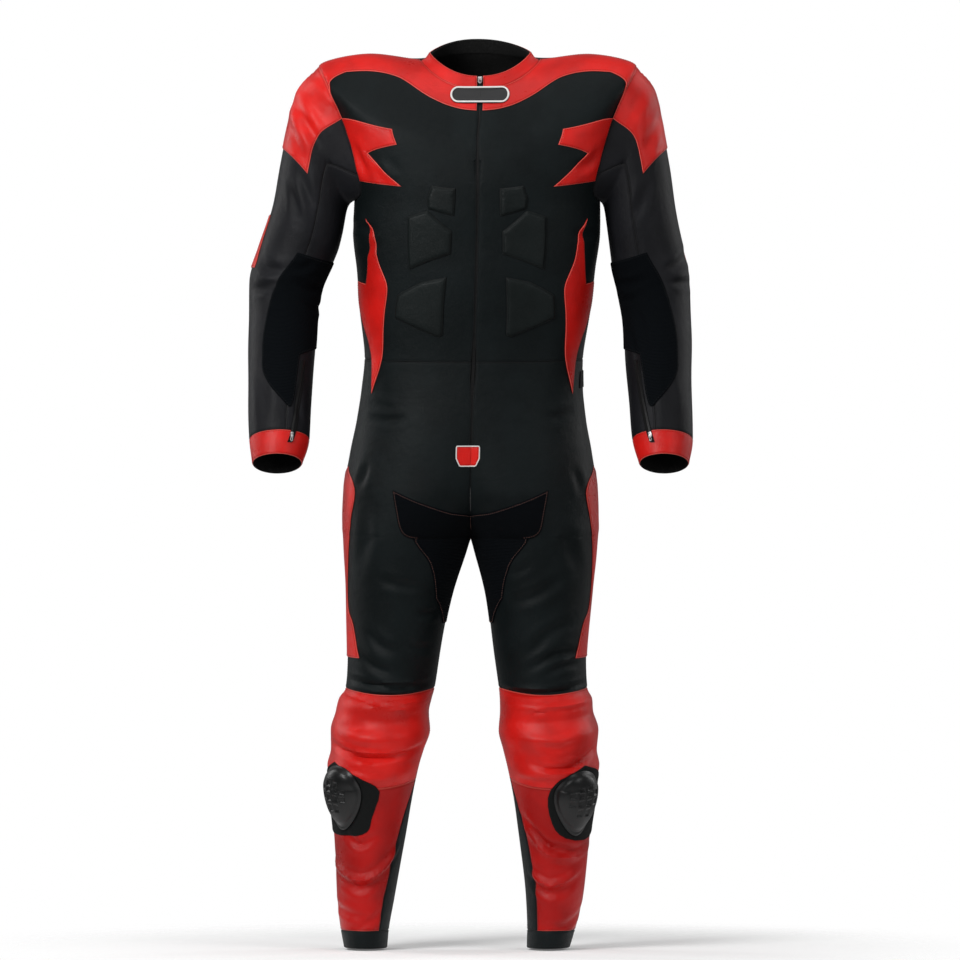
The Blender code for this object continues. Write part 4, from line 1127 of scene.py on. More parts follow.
def front_edge(low, high, step=14):
    """Corners up the centre front between two heights."""
    body = TRUNK[LEFT]
    heights = np.linspace(low, high, max(2, round((high - low) / step)))
    rows = [float(body.row_at(0, height)) for height in heights]
    return [(float(body.off_middle(row, slit_at(h))), row) for row, h in zip(rows, heights)]


WAIST, KNEE, SHIN = ROW["waist"], ROW["roll_top"], ROW["roll_end"]
HEM_SEAM, HEM = ROW["hem_seam"], ROW["hem"]
COLLAR_SEAM = ROW["collar_seam"]
KNEE_BACK = SIDE + 1
SHIN_EDGE = [("roll_end", 0.3), ("shin_top", 0.9), ("calf", 1.4), ("shin_low", 2.0), ("hem_seam", 2.1)]


def armhole(column_from, column_to, steps=15):
    """The armhole's corners between two sleeve columns, as trunk places."""
    angles = 2 * np.pi * np.linspace(column_from, column_to, steps) / COLUMNS
    hole = ARMHOLE
    columns = hole["column"] - hole["half_columns"] * rounded(np.sin(angles), hole["power"])
    rows = hole["row"] + hole["half_rows"] * rounded(np.cos(angles), hole["power"])
    return list(zip(columns.tolist(), rows.tolist()))


# %% Cut and make the trunk
body, arm = TRUNK[LEFT], SLEEVE[LEFT]
torso_front = ([(SIDE, COLLAR_SEAM)] + armhole(7, 0) + [(SIDE, WAIST)]
               + front_edge(914, 1336)[:-1] + [(float(body.off_middle(1, SLIT)), COLLAR_SEAM)])
torso_back = ([(SIDE, COLLAR_SEAM), (COLUMNS, COLLAR_SEAM), (COLUMNS, WAIST), (SIDE, WAIST)]
              + armhole(14, 7))
front_cut = cut(body, torso_front)
back_cut = cut(body, torso_back, joined=(COLUMNS,))
for word, side in SIDES.items():
    shell(f"torso_front_{word}_leather", [f"torso_front_{word}"], [(TRUNK[side], front_cut)], PANEL)
shell("torso_back_leather", ["torso_back"], [(TRUNK[side], back_cut) for side in SIDES.values()], PANEL)
collar_parts = {}
for node, gap in (("collar", THROAT), ("collar_lining", TAPE + 2 * MM)):
    edge = [(float(body.off_middle(row, gap)), row) for row in (1, 0.66, 0.33, 0)]
    collar_parts[node] = cut(body, [(COLUMNS, 0), (COLUMNS, COLLAR_SEAM)] + edge, joined=(COLUMNS,))
COLLAR_LINING = wear("lining_mesh", lambda gap: panel_top(gap) - 2.3 * MM, -2 * WALL, None)
for node, kind in (("collar", RED_PANEL), ("collar_lining", COLLAR_LINING)):
    shell(f"{node}_{kind.finish}", [node], [(TRUNK[s], collar_parts[node]) for s in SIDES.values()], kind)
print("trunk pieces", len(CUT_SIZES), CUT_SIZES["torso_back_leather"])

# %% Cut and make the legs
shin_inner = [(column, ROW[name]) for name, column in SHIN_EDGE]
shin_wrapped = [(column + COLUMNS, row) for column, row in shin_inner]
zip_end = float(body.row_at(0, ZIP_FOOT + 6))
LEG_CUTS = {
    "trouser_front": ([(SIDE, WAIST), (SIDE, KNEE), (0, KNEE), (0, zip_end)]
                      + front_edge(ZIP_FOOT + 14, 914), PANEL, ()),
    "trouser_back": ([(SIDE, WAIST), (COLUMNS, WAIST), (COLUMNS, KNEE), (SIDE, KNEE)], PANEL, ()),
    "knee_rolls": ([(0, KNEE), (KNEE_BACK, KNEE), (KNEE_BACK, SHIN), (0, SHIN)], RED_PANEL, ()),
    "shin": (shin_inner + [(KNEE_BACK, HEM_SEAM), (KNEE_BACK, SHIN)], SHADED_SHIN_PANEL, ()),
    "calf": ([(KNEE_BACK, KNEE), (COLUMNS, KNEE), (COLUMNS, SHIN)] + shin_wrapped
             + [(KNEE_BACK, HEM_SEAM)], PANEL, ()),
    "hem": ([(0, HEM_SEAM), (COLUMNS, HEM_SEAM), (COLUMNS, HEM), (0, HEM)], PANEL, (0, COLUMNS)),
}


def make_pairs(cuts, surfaces):
    """Cut each outline once, on the left, and make a piece of it for both sides."""
    for node, (outline, kind, joined) in cuts.items():
        made = cut(surfaces[LEFT], outline, joined=joined)
        for word, side in SIDES.items():
            shell(f"{node}_{word}_leather", [f"{node}_{word}"], [(surfaces[side], made)], kind)


make_pairs(LEG_CUTS, TRUNK)
print("legs", len(CUT_SIZES), "pieces so far")

# %% Cut and make the sleeves
FRONT_SEAM = 3
ARM_CUTS = {
    "sleeve_outer": ([(FRONT_SEAM, 0), (COLUMNS - FRONT_SEAM, 0), (COLUMNS - FRONT_SEAM, CUFF_SEAM),
                      (FRONT_SEAM, CUFF_SEAM)], ARM, ()),
    "sleeve_inner": ([(-FRONT_SEAM, 0), (FRONT_SEAM, 0), (FRONT_SEAM, CUFF_SEAM),
                      (-FRONT_SEAM, CUFF_SEAM)], ARM, ()),
    "cuff": ([(0, CUFF_SEAM), (COLUMNS, CUFF_SEAM), (COLUMNS, CUFF_END), (0, CUFF_END)],
             RED_PANEL, (0, COLUMNS)),
}
make_pairs(ARM_CUTS, SLEEVE)
print("sleeves", len(CUT_SIZES), "pieces so far")


# %% [markdown]
# ## Patches
# The red shapes are a second layer, sewn on top of the black. Their edges are drawn as curves
# through a few corners, as a maker draws them on card. The elastic panels at the crotch and along
# the arms are laid on in the same way.

# %% Outlines of the patches
def curved(surface, places):
    """A smooth edge through places of the front view."""
    return [tuple(place) for place in curve_through(surface.seen(places), 5)]


YOKE_EDGE = [(202, 1361), (165, 1362), (130, 1355), (107, 1343), (75, 1323), (50, 1312), (27, 1306)]
YOKE_FOOT = 1304
FLASH_TIPS = [(118, 1187), (169, 1238), (125, 1252), (131, 1276)]
SIDE_FLASH = [
    [(171, 1135), (158, 1111), (152, 1072), (138, 1035), (138, 1008), (141, 960), (141, 924), (155, 863)],
    [(155, 863), (159, 924), (174, 975), (180, 1007), (183, 1043)],
    [(170, 1033), (168, 1060), (165, 1108), (171, 1135)],
]
THIGH_EDGE = [(190, 748), (179, 716), (185, 667), (189, 602), (187, 540), (178, 503), (167, 452)]
THIGH_BACK = [(SIDE + 1.2, "thigh_low"), (SIDE + 2, "thigh"), (SIDE + 2, "fork"), (SIDE + 1.4, "seat")]
FORK_EDGE = [[(30, 681), (75, 696), (121, 716)], [(121, 716), (115, 679), (90, 640), (64, 601), (53, 545)]]
FORK_TOP, FORK_FOOT = 676, 505
STRETCH_EDGE = [(268, 1082), (318, 970), (322, 925), (320, 896), (292, 857), (277, 850), (264, 925)]
CAP_SEAM = 4.0
ELBOW = {"left": (7.4, 11.0), "right": (6.1, 9.9)}
ELBOW_ROWS = (3.2, 4.6)

foot = body.find(THROAT / MM, YOKE_FOOT)
throat_edge = [(float(body.off_middle(row, THROAT)), row) for row in (COLLAR_SEAM, 1.5)]
yoke = ([throat_edge[0], (7.3, COLLAR_SEAM), (7.2, 2.0), (7.1, 3.0)] + armhole(7, 4.4, 8)[1:]
        + curved(body, YOKE_EDGE) + [foot])
flash = armhole(4.0, 2.75, 6) + body.seen(FLASH_TIPS)
side_flash = [place for run in SIDE_FLASH for place in curved(body, run)[:-1]]
thigh = curved(body, THIGH_EDGE) + [(column, ROW[name]) for column, name in THIGH_BACK]
fork_low = float(body.row_at(0, FORK_FOOT))
fork_panel = ([(0, float(body.row_at(0, FORK_TOP)))] + curved(body, FORK_EDGE[0])[:-1]
              + curved(body, FORK_EDGE[1]) + [(0.8, fork_low), (-1.2, fork_low), (-1.7, FORK), (0, FORK)])
cap_front = arm.find(259, 1204)
cap_low = float(arm.row_at(SIDE, 1240))
cap = ([(CAP_SEAM, 0)] + [tuple(p) for p in curve_through(
    [cap_front, (SIDE, cap_low), (COLUMNS - cap_front[0], cap_front[1])], 8)]
       + [(COLUMNS - CAP_SEAM, 0)])
stretch = curved(arm, STRETCH_EDGE)
stretch += [(-1.6, float(arm.row_at(0, 945))), (-1.6, stretch[0][1])]
PATCHES = {
    "yoke": (TRUNK, yoke, PATCH, ["torso_front_{}", "torso_back"]),
    "chest_flash": (TRUNK, flash, PATCH, ["torso_front_{}"]),
    "side_flash": (TRUNK, side_flash, PATCH, ["torso_front_{}"]),
    "thigh_flash": (TRUNK, thigh, PATCH, ["trouser_front_{}", "trouser_back_{}"]),
    "crotch_stretch": (TRUNK, fork_panel, FORK_CLOTH, ["trouser_front_{}", "trouser_back_{}"]),
    "shoulder_cap": (SLEEVE, cap, PATCH, ["sleeve_outer_{}"]),
    "arm_stretch": (SLEEVE, stretch, STRETCH, ["sleeve_outer_{}", "sleeve_inner_{}"]),
}

# %% Sew them on
for node, (surfaces, outline, kind, below) in PATCHES.items():
    made = cut(surfaces[LEFT], outline)
    for word, side in SIDES.items():
        shell(f"{node}_{word}_{kind.finish}", [f"{node}_{word}"], [(surfaces[side], made)], kind,
              rests_on=[name.format(word) for name in below])
for word, side in SIDES.items():
    first, last = ELBOW[word]
    upper, lower = ELBOW_ROWS
    outline = [(first + 0.5, upper), (last - 0.5, upper), (last, lower), (first, lower)]
    shell(f"elbow_patch_{word}_leather", [f"elbow_patch_{word}"],
          [(SLEEVE[side], cut(SLEEVE[side], outline))], PATCH, rests_on=[f"sleeve_outer_{word}"])
print("patches sewn,", len(CUT_SIZES), "pieces so far")


# %% [markdown]
# ## Chest pads
# Three raised pads a side sit in the leather of the chest and belly. They are foam pressed into
# shape under the leather, so they have a flat top and a firm edge. A cloth simulation
# can't hold so low and crisp a form, so the bulge is a height for the distance from the edge.

# %% The pads
PADS = {
    "top": [(78, 1169), (71, 1189), (34, 1185), (36, 1142), (76, 1153)],
    "mid": [(78, 1150), (75, 1149), (39, 1118), (40, 1083), (104, 1058), (107, 1140)],
    "low": [(46, 1047), (49, 957), (56, 953), (124, 982), (121, 1018), (84, 1039)],
}
PAD_RIM, PAD_CROWN, PAD_SHOULDER = 1.2 * MM, 5.2 * MM, 5.5 * MM
PAD_LINE = (6.5 * MM, 1.3 * MM, 0.3 * MM)  # how far in the pressed line lies, its width and depth
FIRMNESS = 0.7


def pad_top(gap):
    """A firm edge, a round shoulder and a pressed line near the rim."""
    rise = 1 - (1 - np.clip(gap / PAD_SHOULDER, 0, 1)) ** 2
    far, wide, deep = PAD_LINE
    pressed = np.exp(-((gap - far) / wide) ** 2)
    return PAD_RIM + (PAD_CROWN - PAD_RIM) * rise - deep * pressed


# The pads wear the paler black, painted light.
PAD = wear("lit_pad_leather", pad_top, PATCH_LOW, None, "black_leather", thread=None)
for name, corners in PADS.items():
    made = cut(body, body.seen(corners), net=3.2 * MM)
    for word, side in SIDES.items():
        shell(f"chest_pad_{name}_{word}_leather", [f"chest_pad_{name}_{word}"],
              [(TRUNK[side], made)], PAD, pad=FIRMNESS)
print("pads bulge", round(PAD_CROWN / MM, 1), "mm")


# %% [markdown]
# ## Knee sliders
# A rider leans until a knee touches the road, so a hard dome rides on a hook and loop panel at each
# knee. The panel is a black shape sewn over the red rolls. The dome is moulded with a firm rim and
# a field of slots. It is cut like a patch, and its height comes from how far out a point lies.

# %% The panels and domes
HOOK_PANELS = {
    "right": [(200, 291), (164, 270), (129, 246), (141, 203), (148, 183), (174, 176), (206, 184),
              (228, 214), (227, 262)],
    "left": [(186, 286), (152, 266), (132, 236), (139, 196), (160, 173), (196, 173), (219, 198),
             (222, 246), (208, 276)],
}
Dome = namedtuple("Dome", "across height width tall")
DOMES = {"right": Dome(186, 235, 80, 98), "left": Dome(176, 227, 80, 100)}
DOME_RIM, DOME_RISE, SLOT_DEPTH = 6.0 * MM, 16.5 * MM, 1.9 * MM
HOOK = wear("hook_panel", patch_top, PATCH_LOW, None, held="laid")
DOME = Wear(PATCH_HIGH + 0.1 * MM, lambda gap: DOME_RIM - 1.6 * MM * np.exp(-gap / (1.6 * MM)),
            "hard_plastic", None, "hard_plastic", "laid", None)


def soft_step(value, low, high):
    part = np.clip((value - low) / (high - low), 0, 1)
    return part * part * (3 - 2 * part)


def dome_height(across, down):
    """A dome with a groove inside its rim, a flattened top and a field of slots."""
    out = np.sqrt(across ** 2 + down ** 2)
    height = DOME_RISE * (1 - np.clip(out / 0.94, 0, 1) ** 2.6) ** 0.8
    height -= 1.2 * MM * np.exp(-((out - 0.90) / 0.035) ** 2)
    for slot_across in (-0.42, -0.14, 0.14, 0.42):
        for slot_down in (-0.45, -0.15, 0.15, 0.45):
            if abs(slot_across) + abs(slot_down) < 0.8:
                near = np.maximum(np.abs(across - slot_across) / 0.085, np.abs(down - slot_down) / 0.10)
                height -= SLOT_DEPTH * (1 - soft_step(near, 0.7, 1.15))
    return height


for word, side in SIDES.items():
    leg = TRUNK[side]
    shell(f"slider_base_{word}_hook", [f"slider_base_{word}"],
          [(leg, cut(leg, curve_through(leg.seen(HOOK_PANELS[word] + HOOK_PANELS[word][:1]), 3)[:-1]))],
          HOOK, rests_on=[f"knee_rolls_{word}", f"shin_{word}"])
    dome = DOMES[word]
    middle = np.array(leg.find(dome.across, dome.height), float)
    upper, lower = (leg.find(dome.across, dome.height + way * dome.tall / 2)[1] for way in (1, -1))
    step = leg.at([middle[0] - 0.5, middle[0] + 0.5], [middle[1]] * 2)
    half = np.array([dome.width / 2 * MM / np.linalg.norm(step[1] - step[0]), (lower - upper) / 2])
    middle[1] = (upper + lower) / 2
    turn = np.linspace(0, 2 * np.pi, 49)[:-1]
    made = cut(leg, middle + half * np.stack([np.cos(turn), np.sin(turn)], 1), step=2.0 * MM, net=1.3 * MM)
    shell(f"knee_slider_{word}_shell", [f"knee_slider_{word}"], [(leg, made)], DOME, creased=False,
          soft=False, crown=lambda places: dome_height(*((places - middle) / half).T))
print("domes stand", round((DOME_RIM + DOME_RISE) / MM, 1), "mm high")


# %% [markdown]
# ## Beading
# A round cord in a cloth cover, sewn into an edge, is called piping. It is a circle swept along the
# edge. Here each ring of the sweep stands on the leather's own normal, so the cord can't
# twist, which a plain curve bevel does on a closed loop.

# %% A swept cord
def swept_cord(name, points, outs, radius, material, squash=1.0, ring=8):
    """A cord round a closed line of points."""
    count = len(points)
    ahead = np.roll(points, -1, axis=0) - np.roll(points, 1, axis=0)
    sideways = np.cross(ahead, outs)
    sideways /= np.linalg.norm(sideways, axis=1)[:, None]
    angle = np.linspace(0, 2 * np.pi, ring + 1)[:-1]
    rings = (points[:, None] + sideways[:, None] * (radius * np.cos(angle))[None, :, None]
             + outs[:, None] * (squash * radius * np.sin(angle))[None, :, None])
    faces = []
    for k in range(count):
        here, there = k * ring, (k + 1) % count * ring
        for n in range(ring):
            after = (n + 1) % ring
            faces.append((here + n, here + after, there + after, there + n))
    thing = mesh_object(name, rings.reshape(-1, 3), faces, [material])
    outwards(thing)
    return thing


def outwards(thing):
    """Turn every face of a closed mesh outwards."""
    form = bmesh.new()
    form.from_mesh(thing.data)
    bmesh.ops.recalc_face_normals(form, faces=form.faces)
    form.to_mesh(thing.data)
    form.free()


def on_suit(thing, slot, *nodes, body="suit"):
    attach(thing, body)
    if nodes:
        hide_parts(*nodes)
    return thing


# %% [markdown]
# ## Badge, zip tab and side label
# A soft badge bridges the zip at the collar. It is finished plain, with a black field and a raised
# white rim, because this suit carries no maker's name. A small red tab with white piping
# covers the foot of the zip, and a flat woven label sits in the left side seam.

# %% Shapes that cross the middle line
def beyond_middle(outline):
    """The part of a closed outline of (across, height) where across isn't negative."""
    kept = []
    for (x, h), (next_x, next_h) in zip(outline, outline[1:] + outline[:1]):
        if x >= 0:
            kept.append((x, h))
        if x * next_x < 0:
            kept.append((0.0, h + x / (x - next_x) * (next_h - h)))
    return kept


def halves(outline):
    """A (surface, cut) part for each side of an outline that crosses the middle line."""
    parts = []
    for side in SIDES.values():
        leg = TRUNK[side]
        kept = beyond_middle([(side * x, h) for x, h in outline])
        spots = [(0.0, float(leg.row_at(0, h))) if x == 0 else leg.find(x, h) for x, h in kept]
        parts.append((leg, cut(leg, spots, joined=(0,), step=2.0 * MM, net=2.4 * MM)))
    return parts


def edge_line(outline, lift, step=2.0):
    """Points and normals along a closed outline that crosses the middle line."""
    spots = []
    for (x, h), (next_x, next_h) in zip(outline, outline[1:] + outline[:1]):
        count = max(1, round(math.hypot(next_x - x, next_h - h) / step))
        spots += [(x + (next_x - x) * k / count, h + (next_h - h) * k / count) for k in range(count)]
    points, outs = [], []
    for x, h in spots:
        leg = TRUNK[LEFT if x >= 0 else RIGHT]
        place = np.array([leg.find(abs(x), h)])
        out = level_at_middle(leg, place)
        out /= np.linalg.norm(out)
        base = leg.at(*place.T)
        points.append((base + out * (lift + relief(base, out)[0]))[0])
        outs.append(out[0])
    return np.array(points), np.array(outs)


def stadium(half_width, half_height, centre, corners=12):
    """A bar with round ends, as (across, height)."""
    spots = []
    for end, start in ((1, -90), (-1, 90)):
        for k in range(corners + 1):
            angle = math.radians(start + 180 * k / corners)
            spots.append((end * (half_width - half_height) + half_height * math.cos(angle),
                          centre + half_height * math.sin(angle)))
    return spots


# %% Make the badge, tab and label
BADGE_HALF, BADGE_PLACE = (46, 12.5), 1327  # half width and half height, and height above the hems
RIM_INSET = 1.6
BADGE = stadium(*BADGE_HALF, BADGE_PLACE)
RIM = stadium(*(half - RIM_INSET for half in BADGE_HALF), BADGE_PLACE)
TAB = [(-22, 784), (12, 784), (13, 782), (13, 765), (8, 754), (6, 753), (-16, 753), (-18, 754),
       (-23, 765), (-23, 782)]
LABEL = [(165, 896), (176, 896), (176, 870), (165, 870)]


def badge_top(gap):
    """A field that lies a little lower than its border."""
    sunk = 0.8 * MM * soft_step(gap, 3.2 * MM, 4.4 * MM)
    return 2 * PATCH_HIGH - sunk - 0.4 * MM * np.exp(-gap / (0.5 * MM))


BADGE_KIND = Wear(PATCH_HIGH + 0.2 * MM, badge_top, "badge_rubber", None, "badge_rubber", "laid", None)
shell("badge_field", ["badge"], halves(BADGE), BADGE_KIND, soft=False)
on_suit(swept_cord("badge_rim", *edge_line(RIM, 2 * PATCH_HIGH), 1.5 * MM, "pale_rubber", squash=0.75),
        "badge_rubber")
shell("zip_tab_leather", ["zip_tab"], halves(TAB), PATCH,
      rests_on=["trouser_front_left", "trouser_front_right"])
on_suit(swept_cord("zip_tab_piping", *edge_line(TAB, 1.2 * MM), 1.0 * MM, "pale_rubber"), "badge_rubber")
LABEL_KIND = wear("woven_label", patch_top, PATCH_LOW, None, held="laid", thread=None)
made = cut(TRUNK[LEFT], TRUNK[LEFT].seen(LABEL), step=2.0 * MM, net=2.4 * MM)
shell("side_label_cloth", ["side_label"], [(TRUNK[LEFT], made)], LABEL_KIND, rests_on=["torso_front_left"])
print("badge", 2 * BADGE_HALF[0], "mm wide, tab", np.ptp([x for x, _ in TAB]), "mm wide")


# %% [markdown]
# ## Zips
# The front zip runs from the collar to the tab in one woven tape behind the slit, and each forearm
# has its own short zip. A zip is tape, teeth, slider and pull. The teeth repeat along a line,
# which is work for Geometry Nodes, and the same tree sews the stitches later on.

# %% Tapes
TAPE_TOP, TAPE_LOW = -WALL - 0.35 * MM, -WALL - 1.7 * MM
rows = np.concatenate([[0.1], np.arange(1, 14), [float(body.row_at(0, ZIP_FOOT))]])
tape_edge = [(float(body.off_middle(row, TAPE)), float(row)) for row in rows]
tape = cut(body, [(0, 0.1)] + tape_edge + [(0, float(rows[-1]))], joined=(0,))
FRONT_TAPE = Wear(TAPE_LOW, lambda gap: TAPE_TOP + 0 * gap, "zip_tape", None, "zip_tape", "hung", None)
shell("front_zip_tape", ["front_zip"], [(TRUNK[side], tape) for side in SIDES.values()], FRONT_TAPE,
      flat_size=[0.026, 0.61])
(top_x, top_h), (low_x, low_h) = (258, 916), (281, 792)  # the ends of a sleeve zip
ZIP_HALF = 4.0
ARM_TAPE = wear("zip_tape", lambda gap: patch_top(gap) - 0.3 * MM, PATCH_LOW, None, held="laid")
for word, side in SIDES.items():
    spots = SLEEVE[side].seen([(top_x - ZIP_HALF, top_h), (top_x + ZIP_HALF, top_h),
                               (low_x + ZIP_HALF, low_h), (low_x - ZIP_HALF, low_h)])
    made = cut(SLEEVE[side], spots, step=2.4 * MM, net=2.6 * MM)
    shell(f"sleeve_zip_{word}_tape", [f"sleeve_zip_{word}"], [(SLEEVE[side], made)], ARM_TAPE,
          rests_on=[f"sleeve_inner_{word}"])
print("front tape", CUT_SIZES["front_zip_tape"])


# %% A Geometry Nodes tree that repeats a bead or a bar along lines
def socket_of(tree, name):
    return next(item.identifier for item in tree.interface.items_tree if item.name == name)


def repeat_tree(name, shape):
    """Lines in, small shapes out: step apart, along each line, with their tops outwards."""
    tree = bpy.data.node_groups.new(name, "GeometryNodeTree")
    for title, kind in (("Lines", "NodeSocketGeometry"), ("Step", "NodeSocketFloat"),
                        ("Size", "NodeSocketVector"), ("Finish", "NodeSocketMaterial")):
        tree.interface.new_socket(title, in_out="INPUT", socket_type=kind)
    tree.interface.new_socket("Shapes", in_out="OUTPUT", socket_type="NodeSocketGeometry")

    def add(kind, settings=None, **links):
        node = tree.nodes.new(kind)
        for key, value in (settings or {}).items():
            setattr(node, key, value)
        for key, value in links.items():
            socket = node.inputs[key.replace("_", " ")]
            if isinstance(value, bpy.types.NodeSocket):
                tree.links.new(value, socket)
            else:
                socket.default_value = value
        return node

    given = add("NodeGroupInput").outputs
    line = add("GeometryNodeMeshToCurve", Mesh=given["Lines"]).outputs[0]
    spots = add("GeometryNodeCurveToPoints", {"mode": "LENGTH"}, Curve=line, Length=given["Step"]).outputs
    out = add("GeometryNodeInputNamedAttribute", {"data_type": "FLOAT_VECTOR"}, Name="out").outputs[0]
    turned = add("FunctionNodeAlignRotationToVector", {"axis": "X"}, Vector=spots["Tangent"]).outputs[0]
    turned = add("FunctionNodeAlignRotationToVector", {"axis": "Z", "pivot_axis": "X"},
                 Rotation=turned, Vector=out).outputs[0]
    if shape == "bead":
        small = add("GeometryNodeMeshUVSphere", Segments=4, Rings=3, Radius=0.5).outputs[0]
    else:
        small = add("GeometryNodeMeshCube", Size=(1, 1, 1)).outputs[0]
    placed = add("GeometryNodeInstanceOnPoints", Points=spots["Points"], Instance=small,
                 Rotation=turned, Scale=given["Size"]).outputs[0]
    real = add("GeometryNodeRealizeInstances", Geometry=placed).outputs[0]
    smooth = add("GeometryNodeSetShadeSmooth", Geometry=real, Shade_Smooth=shape == "bead").outputs[0]
    dressed = add("GeometryNodeSetMaterial", Geometry=smooth, Material=given["Finish"]).outputs[0]
    tree.links.new(dressed, add("NodeGroupOutput").inputs[0])
    return tree


BEADS, BARS = repeat_tree("beads_on_lines", "bead"), repeat_tree("bars_on_lines", "bar")


def repeat_along(name, tree, lines, step, size, material):
    """Run a tree on lines of (points, outs, runs), and keep the result as a plain mesh."""
    points = np.concatenate([line[0] for line in lines])
    outs = np.concatenate([line[1] for line in lines])
    starts = np.cumsum([0] + [len(line[0]) for line in lines])
    runs = np.concatenate([np.asarray(line[2]) + start for line, start in zip(lines, starts)])
    mesh = bpy.data.meshes.new(name + "_lines")
    mesh.from_pydata(points.tolist(), runs.tolist(), [])
    mesh.attributes.new("out", "FLOAT_VECTOR", "POINT").data.foreach_set("vector", outs.ravel())
    guide = bpy.data.objects.new(name + "_lines", mesh)
    bpy.context.scene.collection.objects.link(guide)
    work = guide.modifiers.new("repeat", "NODES")
    work.node_group = tree
    for title, value in (("Step", step), ("Size", size), ("Finish", MATERIALS[material])):
        work[socket_of(tree, title)] = value
    ready = guide.evaluated_get(bpy.context.evaluated_depsgraph_get())
    result = bpy.data.meshes.new_from_object(ready)
    guide.modifiers.remove(work)
    bpy.data.objects.remove(guide, do_unlink=True)
    result.name = name
    if "out" in result.attributes:
        result.attributes.remove(result.attributes["out"])
    thing = bpy.data.objects.new(name, result)
    bpy.context.scene.collection.objects.link(thing)
    return thing


# %% Teeth
def zip_line(surface, places, lift):
    places = np.array(places, float)
    outs = level_at_middle(surface, places)
    outs /= np.linalg.norm(outs, axis=1)[:, None]
    points = surface.at(*places.T)
    points = points + outs * (lift + relief(points, outs))[:, None]
    return points, outs, np.stack([np.arange(len(points) - 1), np.arange(1, len(points))], 1)


front_rows = np.linspace(float(body.row_at(0, 1352)), float(body.row_at(0, 772)), 160)
front_line = zip_line(body, [(0, row) for row in front_rows], TAPE_TOP + 0.5 * MM)
TOOTH_STEP, TOOTH = 1.35 * MM, (0.75 * MM, 4.6 * MM, 1.3 * MM)
on_suit(repeat_along("front_zip_teeth", BARS, [front_line], TOOTH_STEP, TOOTH, "dark_teeth"), "zip_metal")
arm_lines = []
for side in SIDES.values():
    spots = SLEEVE[side].seen([(top_x + (low_x - top_x) * part, top_h + (low_h - top_h) * part)
                               for part in np.linspace(0, 1, 30)])
    arm_lines.append(zip_line(SLEEVE[side], spots, PATCH_HIGH - 0.3 * MM))
on_suit(repeat_along("sleeve_zip_teeth", BARS, arm_lines, TOOTH_STEP, (0.75 * MM, 3.6 * MM, 1.1 * MM),
                     "dark_teeth"), "zip_metal")


# %% Sliders and pulls, on the axes of their frame nodes
def axes_of(node):
    """A node's middle, and its long, wide and thick axes with their lengths. Long points down."""
    spots = np.array([vertex.co for vertex in frame["nodes"][node].data.vertices])
    axes = np.linalg.svd(spots - spots.mean(0), full_matrices=False)[2]
    sizes = np.ptp(spots @ axes.T, axis=0)
    order = np.argsort(-sizes)
    axes, sizes = axes[order], sizes[order]
    axes[0] *= -np.sign(axes[0][2])
    axes[2] *= np.sign(axes[2] @ np.array([0, -1.0, 0]))
    axes[1] = np.cross(axes[2], axes[0])
    turned = spots @ axes.T
    return (turned.min(0) + turned.max(0)) / 2 @ axes, axes, sizes


def pillow(size, corner=0.5, around=20, rows=10):
    """A block with round corners: a ball whose sines are raised to a small power."""
    def firm(value):
        return np.sign(value) * np.abs(value) ** corner
    turn = np.linspace(0, 2 * np.pi, around + 1)[:-1]
    tilt = np.linspace(-np.pi / 2, np.pi / 2, rows + 1)[1:-1]
    grid = [(firm(math.cos(t)) * firm(np.cos(turn)), firm(math.cos(t)) * firm(np.sin(turn)),
             np.full(around, firm(math.sin(t)))) for t in tilt]
    points = [np.stack(ring, 1) for ring in grid]
    points = np.concatenate([*points, [[0, 0, -1], [0, 0, 1]]]) * np.array(size) / 2
    faces, last = [], (rows - 2) * around
    for row in range(rows - 2):
        for k in range(around):
            after = (k + 1) % around
            faces.append([row * around + k, row * around + after, (row + 1) * around + after,
                          (row + 1) * around + k])
    for k in range(around):
        after = (k + 1) % around
        faces += [[after, k, last + around], [last + k, last + after, last + around + 1]]
    return points, faces


def holed_plate(length, width, thick, hole, around=28):
    """A flat tab with round ends and a long hole near its lower end."""
    turn = np.linspace(0, 2 * np.pi, around + 1)[:-1]

    def loop(half_long, half_wide, middle, shrink):
        ends = np.where(np.cos(turn) > 0, 1, -1) * (half_long - half_wide)
        return np.stack([middle + ends + (half_wide - shrink) * np.cos(turn),
                         (half_wide - shrink) * np.sin(turn)], 1)

    bevel = thick * 0.25
    rings = []
    for high, shrink in ((-0.5, bevel), (-0.25, 0), (0.25, 0), (0.5, bevel)):
        rings.append((loop(length / 2, width / 2, 0, shrink), high * thick))
    for high, shrink in ((0.5, -bevel), (0.25, 0), (-0.25, 0), (-0.5, -bevel)):
        rings.append((loop(hole[0] / 2, hole[1] / 2, hole[2], shrink), high * thick))
    points = np.concatenate([np.column_stack([spots, np.full(around, high)]) for spots, high in rings])
    faces = []
    for ring in range(len(rings)):
        here, there = ring * around, (ring + 1) % len(rings) * around
        faces += [[here + k, here + (k + 1) % around, there + (k + 1) % around, there + k]
                  for k in range(around)]
    return points, faces


def placed(name, shapes, middle, axes):
    """Join shapes of (points, faces, shift) on a node's axes."""
    points, faces, first = [], [], 0
    for spots, corners, shift in shapes:
        points.append((spots + np.array(shift)) @ axes + middle)
        faces += [[k + first for k in corner] for corner in corners]
        first += len(spots)
    thing = mesh_object(name, np.concatenate(points), faces, ["zip_metal"])
    outwards(thing)
    return thing


